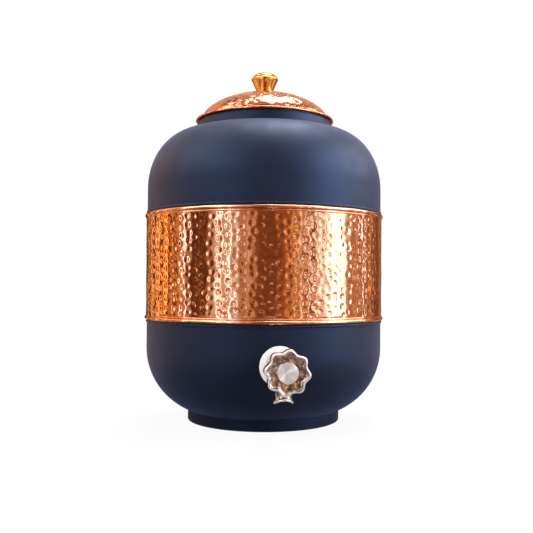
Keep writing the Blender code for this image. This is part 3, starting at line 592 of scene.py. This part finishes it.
def makeLidKnob():
    # a turned knob: a round cap, a rolled collar, and a cone that narrows to the foot on the dome
    top = sizes("lid_knob")["high"]
    dome = sizes("lid_dome")
    brim, domeTop = dome["low"] + 2 * lid["curl"], dome["high"]
    widestR, neckR, footR = lidKnob["widestR"], lidKnob["neckR"], lidKnob["footR"]
    screwR, gap = lidKnob["screwR"], lidKnob["gap"]
    widest = domeTop + lidKnob["coneTall"]
    capLow = widest + lidKnob["collarTall"]
    points = arcPoints(0, capLow, lidKnob["capR"], top - capLow, 90, 8, 16)
    points += roundCorners([points[-1], (widestR - 0.5, capLow - 0.1, 0.2), (widestR, capLow - 0.6, 0.4),
                            (widestR, widest, 0.6), (widestR - 0.9, widest - 1.1, 0.4),
                            (neckR + 0.3, domeTop + 1.6, 1.2), (neckR, domeTop + 0.7, 0.3),
                            (footR, domeTop + 0.2, 0.3), (footR, domeZ(footR, brim) + gap)])[1:]
    points += [(screwR, domeZ(screwR, brim) + gap), (0, domeTop + gap)]
    piece = turnPiece("turnedLidKnob", points, potAxis, lidKnob["steps"])
    finishPiece(piece, "lid", [brass], ["lid_knob"], 28)


makeLid()
makeLidKnob()
print("lid made")


# Tap

tap = {"roseBore": 8.3, "collarR": 11.5, "collarTall": 3.2, "barrelR": 9.8, "barrelAt": 4.2,
       "shankR": 8.0, "shankBore": 4.0, "chamberR": 7.6, "seatAt": 7.4, "seatProud": 0.9,
       "threadPitch": 1.8, "threadDeep": 0.8, "threadFlat": 0.25, "steps": 160}


def makeFlange():
    # a pressed rose: a flat rim with a rolled edge, rising to the tap's shoulder
    r, back, front, bore = flange["r"], flange["back"], flange["front"], tap["roseBore"]
    points = roundCorners([(bore, back), (r - 0.5, back, 0.3), (r, back + 0.7, 0.7),
                           (r - 0.6, back + 1.5, 0.6), (r - 1.8, back + 2.3, 1.5),
                           (r - 4.2, front - 0.25, 1.8), (bore, front), (bore, back)])
    piece = turnPiece("tapRose", points, tapAxis, tap["steps"])
    finishPiece(piece, "dispenser", [satinSteel], ["tap_flange"])


def makeBody():
    # a barrel with a collar against the rose, a seat for the valve, and a threaded shank through the wall
    body = sizes("tap_body")
    end, tail = body["front"], body["back"]
    barrelR, collarR, shankR, bore = tap["barrelR"], tap["collarR"], tap["shankR"], tap["shankBore"]
    chamberR, seatProud = tap["chamberR"], tap["seatProud"]
    shoulder = flange["front"] + fit
    seat = shoulder + tap["seatAt"]
    points = [(chamberR, end)]
    points += roundCorners([(chamberR + 0.5, end), (barrelR, end, 0.6),
                            (barrelR, shoulder + tap["barrelAt"], 0.7),
                            (collarR, shoulder + tap["collarTall"], 0.7), (collarR, shoulder, 0.3),
                            (shankR, shoulder)])
    pitch, flat, root = tap["threadPitch"], tap["threadFlat"], shankR - tap["threadDeep"]
    for i in range(int((shoulder - tail - 1.5) / pitch)):
        at = shoulder - 0.4 - i * pitch
        points += [(shankR, at), (shankR, at - flat), (root, at - pitch / 2), (shankR, at - pitch + flat)]
    points += [(root, tail), (bore, tail), (bore, seat), (bore + 0.9, seat)]
    points += [(bore + 1.3, seat - seatProud), (chamberR, seat - seatProud), points[0]]
    piece = turnPiece("tapBodyPlated", points, tapAxis, tap["steps"])
    axisZ = tapAxis[0].z
    cutPiece(piece, addRod("spoutPort", spoutShape["boreR"], axisZ - 2 * barrelR, axisZ, spoutAxis))
    finishPiece(piece, "dispenser", [chrome], ["tap_body"])


spoutShape = {"tubeR": 6.6, "boreR": 4.8, "flare": 4.4, "lipRound": 0.75, "lipTall": 0.85,
              "lipFace": 1.9, "arch": 3.0, "archFrom": 10.0, "archTo": 3.5}


def makeSpout():
    # a short tube from the barrel down, flared at its lip, which is drawn up in an arch from side to side
    spout = sizes("spout")
    tip, lipR, axisZ = spout["low"], spout["r"], tapAxis[0].z
    tubeR, boreR = spoutShape["tubeR"], spoutShape["boreR"]
    lipRound, lipTall = spoutShape["lipRound"], spoutShape["lipTall"]
    flareZ = tip + spoutShape["flare"]
    rows = int(axisZ - flareZ)
    points = [(boreR, axisZ), (tubeR, axisZ)] + [(tubeR, axisZ - i) for i in range(4, rows)]
    points += [(tubeR, flareZ), (tubeR + 0.1, tip + 3.0), (tubeR + 0.35, tip + 2.3)]
    points += [(lipR - lipRound, tip + 1.75)]
    points += arcPoints(lipR - lipRound, tip + lipTall, lipRound, lipTall, 75, -120, 12)
    points += [(boreR + 1.0, tip + 0.7), (boreR + 0.4, tip + 2.0), (boreR, tip + 3.6)]
    points += [(boreR, flareZ + i) for i in range(1, rows)] + [(boreR, axisZ)]
    piece = turnPiece("spoutPlated", points, spoutAxis, tap["steps"])
    lipFace = tip + spoutShape["lipFace"]
    # the outside of the lip takes the paler plate, a painted highlight
    markFaces(piece, lambda r, along: r > boreR + 1.0 and along < lipFace, spoutAxis)
    archTop, archSpan = tip + spoutShape["archFrom"], spoutShape["archFrom"] - spoutShape["archTo"]
    for vertex in piece.data.vertices:
        away = (vertex.co.x / mm - spoutAxis[0].x) / lipR
        share = smoothStep((archTop - vertex.co.z / mm) / archSpan)
        vertex.co.z += spoutShape["arch"] * (1 - away * away) * share * mm
    cutPiece(piece, addRod("barrelSide", tap["barrelR"] + fit, spout["back"] - cutReach,
                           spout["front"] + cutReach, tapAxis, 192))
    finishPiece(piece, "dispenser", [chrome, paintedHighlightPlate], ["spout"])


bonnetShape = {"hexTall": 3.5, "chamferR": 1.4, "chamferTall": 1.2, "plugR": 7.3, "noseR": 6.0,
               "noseEdge": 0.4, "boreR": 4.2, "boreReach": 5, "sides": 96}


def makeBonnet():
    # a chamfered hexagon that closes the chamber, and a round nose where the spindle comes out
    bonnet = sizes("bonnet")
    corner, back, front = bonnet["r"], bonnet["back"], bonnet["front"]
    plugR, noseR, reach = bonnetShape["plugR"], bonnetShape["noseR"], bonnetShape["boreReach"]
    hexBack = sizes("bonnet_gasket")["front"] + fit
    hexFront = hexBack + bonnetShape["hexTall"]
    piece = addRod("bonnetPlated", corner, hexBack, hexFront, tapAxis, 6)
    chamfer = [(0, hexBack - 1), (corner + 1, hexBack - 1),
               (corner + 1, hexFront - bonnetShape["chamferTall"]),
               (corner - bonnetShape["chamferR"], hexFront), (0, hexFront)]
    cutPiece(piece, turnPiece("chamfer", chamfer, tapAxis, bonnetShape["sides"]), "INTERSECT")
    nose = roundCorners([(0, back), (plugR, back), (plugR, hexBack + 1), (noseR, hexBack + 1.5),
                         (noseR, front, bonnetShape["noseEdge"]), (0, front)])
    cutPiece(piece, turnPiece("nose", nose, tapAxis, bonnetShape["sides"]), "UNION")
    cutPiece(piece, addRod("bore", bonnetShape["boreR"], back - reach, front + reach, tapAxis))
    finishPiece(piece, "dispenser", [chrome], ["bonnet"], 30)


knob = {"lobes": 8, "tipR": 17.7, "valleyR": 15.4, "turn": -7.0, "rim": 2.6, "rimRound": 1.5, "web": 2.6,
        "boreR": 3.15, "pocketR": 6.3, "hubR": 7.4, "hubTall": 1.3, "swellFrom": 9.0, "swellEdge": 0.9,
        "ripple": 0.4, "rippleSize": 3.0, "highlightFrom": 0.9, "highlightTall": 1.7, "steps": 384}


def makeTapKnob():
    # turned round first, and then its rim and skirt are pulled out into lobes
    box = sizes("tap_knob")
    back, front = box["back"], box["front"]
    valley, rim, rimRound = knob["valleyR"], knob["rim"], knob["rimRound"]
    boreR, pocketR, hubR = knob["boreR"], knob["pocketR"], knob["hubR"]
    webBack = sizes("bonnet")["front"] + fit
    webFront = webBack + knob["web"]
    hubTop = webFront + knob["hubTall"]
    hollow = sizes("bonnet")["r"] + 2 * fit
    points = [(boreR, webFront), (pocketR, webFront), (pocketR, hubTop)]
    points += roundCorners([(pocketR + 0.2, hubTop), (hubR, hubTop, 0.3),
                            (hubR + 0.5, webFront + 0.35, 0.8), (9.6, webFront + 0.2, 1.6),
                            (valley - rim - 0.4, webFront + 0.9, 1.2),
                            (valley - rim, front - rimRound - 0.4)], 5)
    points += arcPoints(valley - rim / 2, front - rimRound, rim / 2, rimRound, 180, 0, 14)
    points += roundCorners([(valley, front - rimRound - 0.4), (valley, back + 1.2, 0.9),
                            (valley - 1.1, back, 0.5), (hollow, back, 0.2), (hollow, webBack, 0.4),
                            (boreR, webBack), (boreR, webFront)], 5)
    piece = turnPiece("tapKnobPlated", points, tapAxis, knob["steps"])
    # the front of the rim takes the paler plate, a painted highlight
    highlightR, highlightAt = valley - rim + knob["highlightFrom"], front - knob["highlightTall"]
    markFaces(piece, lambda r, along: r > highlightR and along > highlightAt, tapAxis)
    axis = tapAxis[0] * mm
    swellFrom, swellTo = knob["swellFrom"], valley - knob["swellEdge"]
    dishFloor = -(webFront + 0.1) * mm
    for vertex in piece.data.vertices:
        across = Vector((vertex.co.x - axis.x, 0, vertex.co.z - axis.z))
        r = across.length / mm
        share = smoothStep((r - swellFrom) / (swellTo - swellFrom))
        if share <= 0 and r < hubR:
            continue
        if vertex.co.y < dishFloor:        # the casting is uneven inside its dish
            place = Vector((vertex.co.x, 0, vertex.co.z)) / mm / knob["rippleSize"]
            ripple = noise.noise(place) + 0.5 * noise.noise(place * 2)
            vertex.co.y += knob["ripple"] * ripple * mm * (1 - share * 0.7)
        angle = math.atan2(across.z, across.x) - math.radians(knob["turn"])
        swell = (1 + math.cos(knob["lobes"] * angle)) / 2
        vertex.co += across.normalized() * (knob["tipR"] - valley) * swell * share * mm
    finishPiece(piece, "handle", [chrome, paintedHighlightPlate], ["tap_knob"], 40)


capShape = {"edge": 0.45, "rimTall": 2.1, "plugR": 6.0, "plugBore": 5.2, "plugDeep": 0.4, "mapR": 20}


def makeKnobCap():
    # a flat round cap with a short tube behind it, and a map round its middle for the lathe's rings
    cap = sizes("knob_cap")
    r, back, front = cap["r"], cap["back"], cap["front"]
    plugR, plugBore = capShape["plugR"], capShape["plugBore"]
    seatAt = front - capShape["rimTall"]
    hollowAt = seatAt + capShape["plugDeep"]
    points = [(0, front), (r * 0.3, front), (r * 0.6, front)]
    points += roundCorners([(r - 1.2, front), (r, front, capShape["edge"]), (r, seatAt, 0.2),
                            (plugR, seatAt), (plugR, back), (plugBore, back), (plugBore, hollowAt),
                            (0, hollowAt)])
    piece = turnPiece("spunKnobCap", points, tapAxis, tap["steps"])
    polar = piece.data.uv_layers.new(name="polar")
    for loop in piece.data.loops:
        spot = piece.data.vertices[loop.vertex_index].co / mm - tapAxis[0]
        polar.data[loop.index].uv = (math.hypot(spot.x, spot.z) / capShape["mapR"],
                                     math.atan2(spot.z, spot.x) / math.tau)
    finishPiece(piece, "handle", [spunSteel], ["knob_cap"])


makeFlange()
makeBody()
makeSpout()
makeBonnet()
makeTapKnob()
makeKnobCap()
print("tap made")


# Pieces that stay as the frame has them
keptFinishes = {"tap_boss": navyCoat, "outer_seal": rubber, "inner_seal": rubber, "valve_washer": rubber,
                "spindle_o_ring": rubber, "bonnet_gasket": fibre, "back_washer": insideSteel,
                "back_nut": turnedBrass, "jumper": turnedBrass, "jumper_screw": turnedBrass,
                "spindle": turnedBrass, "lid_plug_ring": insideSteel, "lid_knob_washer": insideSteel,
                "lid_knob_screw": insideSteel, "knob_screw": insideSteel}
for name, material in keptFinishes.items():
    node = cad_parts[name]
    node.data.materials.clear()
    node.data.materials.append(material)
print("kept pieces finished")


# Studio

studio = {"distance": 697.7, "height": 126.7, "pitch": 1.29, "turn": -6.8, "roll": 0.3, "lens": 49.71,
          "sensor": 36.0, "right": 2.5}


def makeCamera():
    turn = math.radians(studio["turn"])
    spot = potAxis[0] + Vector((math.sin(turn), -math.cos(turn), 0)) * studio["distance"]
    spot += Vector((math.cos(turn), math.sin(turn), 0)) * studio["right"]
    spot.z = studio["height"]
    camera = bpy.data.objects.new("camera", bpy.data.cameras.new("camera"))
    camera.data.lens = studio["lens"]
    camera.data.sensor_width = studio["sensor"]
    camera.matrix_world = (Matrix.Translation(spot * mm) @ Matrix.Rotation(turn, 4, "Z")
                           @ Matrix.Rotation(math.radians(90 + studio["pitch"]), 4, "X")
                           @ Matrix.Rotation(math.radians(studio["roll"]), 4, "Z"))
    bpy.context.scene.collection.objects.link(camera)
    bpy.context.scene.camera = camera


# Polished metal reflects a ring of upright cards. Each strip of it is (from, to, colour, strength), with
# the angles in degrees round the pot, the camera at 0 and its right positive. A later strip covers an
# earlier one, and brown fills the rest.
cardColours = {"umber": "#643f24", "shade": "#80543a", "brown": "#a56d45", "copper": "#c5926b",
               "sand": "#d6ac85", "amber": "#d99552", "honey": "#ffbf7a", "pale": "#e8d9cc",
               "white": "#dce9ff"}
strips = [(-160, -146, "umber", 0.7), (-146, -139, "honey", 0.7), (-139, -132, "umber", 0.6),
          (-132, -126, "honey", 1.35), (-126, -119, "umber", 0.6), (-119, -112, "honey", 1.7),
          (-112, -107, "umber", 0.7), (-107, -102, "amber", 1.6), (-102, -99.5, "honey", 3.6),
          (-99.5, -94, "umber", 0.9), (-94, -90, "amber", 1.4), (-90, -85.5, "shade", 0.8),
          (-85.5, -82.5, "honey", 0.8), (-82.5, -77, "amber", 0.9), (-77.2, -74.6, "white", 4.0),
          (-74.6, -69, "sand", 0.6), (-69, -51, "umber", 0.98), (-60.5, -59, "copper", 0.8),
          (-48, -45.5, "sand", 0.65), (-46, -41, "pale", 0.85), (-41, -38.8, "white", 4.0),
          (-38.8, -31.3, "pale", 0.85), (-31.3, -28.6, "white", 4.4), (-28.6, -20, "pale", 0.72),
          (-24.5, -23, "white", 1.6), (-20, -9, "copper", 0.94), (-14, -12.8, "pale", 1.2),
          (-9, -4, "brown", 0.66), (-4, 13, "shade", 0.92), (13, 20, "brown", 0.86),
          (20, 27.5, "amber", 0.68), (23.5, 25, "sand", 1.7), (27.5, 45.5, "sand", 0.98),
          (31.5, 33, "pale", 2.2), (36, 39, "brown", 0.75), (39.5, 41, "white", 2.6),
          (42.5, 44.8, "umber", 1.0), (46.8, 48.4, "white", 3.0), (48.6, 58, "pale", 1.12),
          (53, 54.6, "white", 3.2), (58, 79.6, "white", 3.4), (79.6, 84, "pale", 0.85),
          (84, 100, "copper", 0.9), (92, 93, "pale", 1.8), (102.5, 105, "white", 3.4),
          (107, 128, "copper", 0.75), (112, 113.5, "umber", 0.9), (116, 118, "honey", 1.5),
          (122, 124, "umber", 0.8), (128, 142, "shade", 0.9), (142, 155, "copper", 0.7)]
# lengths in mm and angles in degrees: blend is what one strip takes to turn into the next
tent = {"radius": 1100, "low": -20, "high": 1550, "blend": 0.8, "patch": 230.0,
        "riseFrom": 440, "riseTo": 560, "riseLevel": 1.9, "fallFrom": 800, "fallTo": 1400,
        "fallLevel": 0.45, "backFrom": 112.0, "backBlend": 12.0, "backLow": 550, "backHigh": 600,
        "backColour": "#f6dccc", "backDim": 0.5084, "backBright": 1.025, "backSpan": (0.4, 0.6),
        "roofStops": [(0.4, "#876252"), (0.5, "#cfaa98"), (0.6, "#ffe8dc")],
        "floorPatch": 240.0, "floorStops": [(0.36, "#7d5236"), (0.5, "#c2916c"), (0.64, "#ffe6cc")],
        "floorShade": "#43362e", "shadeFrom": 130, "shadeTo": 420, "floorGap": 0.4, "floorLift": 0.5}


def cardMaterial(name, glowInputs):
    # a card glows in the colours that its own function makes
    material = bpy.data.materials.new(name)
    material.use_nodes = True
    tree = material.node_tree
    tree.nodes.remove(tree.nodes["Principled BSDF"])
    place = addNode(tree, "TexCoord").outputs["Object"]
    glow = addNode(tree, "Emission", glowInputs(tree, place))
    tree.links.new(glow.outputs["Emission"], tree.nodes["Material Output"].inputs["Surface"])
    return material


def floorGlow(tree, place):
    # dark beside the foot, and further out patches of shade and warm light for the dents to catch
    lumps = addNode(tree, "TexNoise", {"Vector": place, "Scale": 1.0 / (tent["floorPatch"] * mm),
                                       "Detail": 1.0})
    patches = addNode(tree, "ValToRGB", {"Fac": lumps.outputs["Fac"]}, tent["floorStops"])
    away = addNode(tree, "VectorMath", {0: place}, operation="LENGTH")
    outwards = addNode(tree, "MapRange", {"Value": away.outputs["Value"],
                                          "From Min": tent["shadeFrom"] * mm,
                                          "From Max": tent["shadeTo"] * mm})
    mixed = addNode(tree, "Mix", {"Factor": outwards.outputs["Result"], 6: toLinear(tent["floorShade"]),
                                  7: patches.outputs["Color"]}, data_type="RGBA")
    return {"Color": mixed.outputs[2]}


def roofGlow(tree, place):
    # patches of shade and warm light, which the dents of the lid break up
    lumps = addNode(tree, "TexNoise", {"Vector": place, "Scale": 1.0 / (tent["patch"] * mm), "Detail": 1.0})
    patches = addNode(tree, "ValToRGB", {"Fac": lumps.outputs["Fac"]}, tent["roofStops"])
    return {"Color": patches.outputs["Color"]}


def ringGlow(tree, place):
    # turned so that a place's angle round the pot is 0 at the camera
    centred = addNode(tree, "Mapping", {"Vector": place, "Location": -potAxis[0] * mm})
    turned = addNode(tree, "Mapping", {"Vector": centred.outputs["Vector"],
                                       "Rotation": (0, 0, math.radians(90 - studio["turn"]))})
    split = addNode(tree, "SeparateXYZ", {"Vector": turned.outputs["Vector"]})
    angle = addNode(tree, "Math", {0: split.outputs["Y"], 1: split.outputs["X"]}, operation="ARCTAN2")
    degrees = addNode(tree, "Math", {0: angle.outputs["Value"], 1: 180 / math.pi}, operation="MULTIPLY")
    colour = toLinear(cardColours["brown"])
    for start, end, name, strength in strips:
        middle, half, soft = (start + end) / 2, (end - start) / 2, tent["blend"] / 2
        away = addNode(tree, "Math", {0: degrees.outputs["Value"], 1: middle}, operation="SUBTRACT")
        away = addNode(tree, "Math", {0: away.outputs["Value"]}, operation="ABSOLUTE")
        cover = addNode(tree, "MapRange", {"Value": away.outputs["Value"], "From Min": half + soft,
                                           "From Max": half - soft})
        colour = addNode(tree, "Mix", {"Factor": cover.outputs["Result"], 6: colour,
                                       7: toLinear(cardColours[name], strength)},
                         data_type="RGBA").outputs[2]
    # brighter above what the band reflects, for the neck and the upper wall, and darker near the ceiling
    rise = addNode(tree, "MapRange", {"Value": split.outputs["Z"], "From Min": tent["riseFrom"] * mm,
                                      "From Max": tent["riseTo"] * mm, "To Min": 1.0,
                                      "To Max": tent["riseLevel"]})
    fall = addNode(tree, "MapRange", {"Value": split.outputs["Z"], "From Min": tent["fallFrom"] * mm,
                                      "From Max": tent["fallTo"] * mm, "To Min": 1.0,
                                      "To Max": tent["fallLevel"]})
    height = addNode(tree, "Math", {0: rise.outputs["Result"], 1: fall.outputs["Result"]},
                     operation="MULTIPLY")
    # warm patches high up behind the set, which only what looks up and back reflects
    turnedAway = addNode(tree, "Math", {0: degrees.outputs["Value"]}, operation="ABSOLUTE")
    behind = addNode(tree, "MapRange", {"Value": turnedAway.outputs["Value"], "From Min": tent["backFrom"],
                                        "From Max": tent["backFrom"] + tent["backBlend"]})
    above = addNode(tree, "MapRange", {"Value": split.outputs["Z"], "From Min": tent["backLow"] * mm,
                                       "From Max": tent["backHigh"] * mm})
    highBack = addNode(tree, "Math", {0: behind.outputs["Result"], 1: above.outputs["Result"]},
                       operation="MULTIPLY").outputs["Value"]
    lumps = addNode(tree, "TexNoise", {"Vector": place, "Scale": 1.0 / (tent["patch"] * mm), "Detail": 1.0})
    patches = addNode(tree, "MapRange", {"Value": lumps.outputs["Fac"], "From Min": tent["backSpan"][0],
                                         "From Max": tent["backSpan"][1], "To Min": tent["backDim"],
                                         "To Max": tent["backBright"]})
    level = addNode(tree, "Mix", {"Factor": highBack, 2: height.outputs["Value"],
                                  3: patches.outputs["Result"]}, data_type="FLOAT")
    colour = addNode(tree, "Mix", {"Factor": highBack, 6: colour, 7: toLinear(tent["backColour"])},
                     data_type="RGBA")
    return {"Color": colour.outputs[2], "Strength": level.outputs[0]}


def makeTent():
    # cards round, above and under the set, which only polished surfaces see; the one on the floor starts
    # outside the foot
    r, low, high, lift = tent["radius"], tent["low"], tent["high"], tent["floorLift"]
    cards = [("reflectionCards", [(r, low), (r, high)], "cardRing", ringGlow),
             ("floorCard", [(foot["r"] + tent["floorGap"], lift), (r, lift)], "floorPatches", floorGlow),
             ("ceilingCard", [(0, high), (r, high)], "ceilingPatches", roofGlow)]
    for name, points, materialName, glowInputs in cards:
        card = turnPiece(name, points, potAxis, 96)
        card.data.materials.append(cardMaterial(materialName, glowInputs))
        card.visible_camera = False
        card.visible_diffuse = False
        card.visible_shadow = False
        card.visible_transmission = False


def addSeen(tree):
    # 1 for what the camera, a reflection or glass sees, and 0 for the light that falls on things
    path = addNode(tree, "LightPath")
    seen = path.outputs["Is Camera Ray"]
    for ray in ("Is Glossy Ray", "Is Transmission Ray"):
        seen = addNode(tree, "Math", {0: seen, 1: path.outputs[ray]}, operation="MAXIMUM").outputs["Value"]
    return seen


ground = {"size": 40000, "colour": "#efefef", "rough": 0.7, "specular": 0.2, "fadeFrom": 120,
          "fadeTo": 400, "whiteNear": 0.92, "daylight": 0.6,
          "sky": [(0.0, "#ffffff"), (0.6, "#ffffff"), (0.85, "#bbbbbb"), (1.0, "#aaaaaa")]}


def makeFloor():
    # a pale floor that is seen as white further out, and keeps a part of the pot's shadow near it
    bpy.ops.object.select_all(action="DESELECT")
    bpy.ops.mesh.primitive_plane_add(size=ground["size"] * mm, location=(0, 0, 0))
    floor = bpy.context.object
    floor.name = "studioFloor"
    material = newFinish("paleFloor", ground["colour"], ground["rough"], 0.0,
                         {"Specular IOR Level": ground["specular"]})
    tree = material.node_tree
    place = addNode(tree, "TexCoord").outputs["Object"]
    away = addNode(tree, "VectorMath", {0: place}, operation="LENGTH")
    far = addNode(tree, "MapRange", {"Value": away.outputs["Value"],
                                     "From Min": ground["fadeFrom"] * mm,
                                     "From Max": ground["fadeTo"] * mm}, interpolation_type="SMOOTHSTEP")
    white = addNode(tree, "MapRange", {"Value": far.outputs["Result"], "To Min": ground["whiteNear"],
                                       "To Max": 1.0})
    share = addNode(tree, "Math", {0: white.outputs["Result"], 1: addSeen(tree)}, operation="MULTIPLY")
    glow = addNode(tree, "Emission", {"Color": toLinear("#ffffff"), "Strength": 1.0})
    shader = tree.nodes["Principled BSDF"]
    mix = addNode(tree, "MixShader", {0: share.outputs["Value"], 1: shader.outputs["BSDF"],
                                      2: glow.outputs["Emission"]})
    tree.links.new(mix.outputs["Shader"], tree.nodes["Material Output"].inputs["Surface"])
    floor.data.materials.append(material)


def makeWorld():
    # white where it is seen, up to a third of the way, and the ceiling above that is in shade
    world = bpy.data.worlds.new("studio")
    bpy.context.scene.world = world
    world.use_nodes = True
    tree = world.node_tree
    level = addNode(tree, "MapRange", {"Value": addSeen(tree), "To Min": ground["daylight"],
                                       "To Max": 1.0})
    way = addNode(tree, "SeparateXYZ", {"Vector": addNode(tree, "TexCoord").outputs["Generated"]})
    sky = addNode(tree, "ValToRGB", {"Fac": way.outputs["Z"]}, ground["sky"])
    tree.links.new(sky.outputs["Color"], tree.nodes["Background"].inputs["Color"])
    tree.links.new(level.outputs["Result"], tree.nodes["Background"].inputs["Strength"])


# spots and sizes in m, and power in W
lamps = {"overheadRight": {"spot": (0.24, 0.14, 1.45), "size": 0.8, "power": 13.4},
         "overheadLeft": {"spot": (-0.6, 0.2, 1.4), "size": 0.32, "power": 1.3},
         "frontRight": {"spot": (1.0, -0.72, 0.48), "size": 0.35, "power": 3.0},
         "backTop": {"spot": (0.2, 1.0, 1.15), "size": 0.7, "power": 9.0, "mirrored": False},
         "rightSoftbox": {"spot": (1.0, -0.05, 0.58), "size": 0.9, "power": 7.2},
         "leftSoftbox": {"spot": (-0.92, -0.32, 0.74), "size": 0.9, "power": 6.6}}


def makeLamps():
    for name, lamp in lamps.items():
        data = bpy.data.lights.new(name, "AREA")
        data.shape = "SQUARE"
        data.size = lamp["size"]
        data.energy = lamp["power"]
        light = bpy.data.objects.new(name, data)
        light.location = lamp["spot"]
        light.rotation_euler = (potMiddle - Vector(lamp["spot"])).to_track_quat("-Z", "Y").to_euler()
        light.visible_camera = False
        light.visible_glossy = lamp.get("mirrored", True)
        bpy.context.scene.collection.objects.link(light)


makeCamera()
makeTent()
makeFloor()
makeWorld()
makeLamps()
bpy.context.scene.view_settings.view_transform = "Standard"
print("studio made")
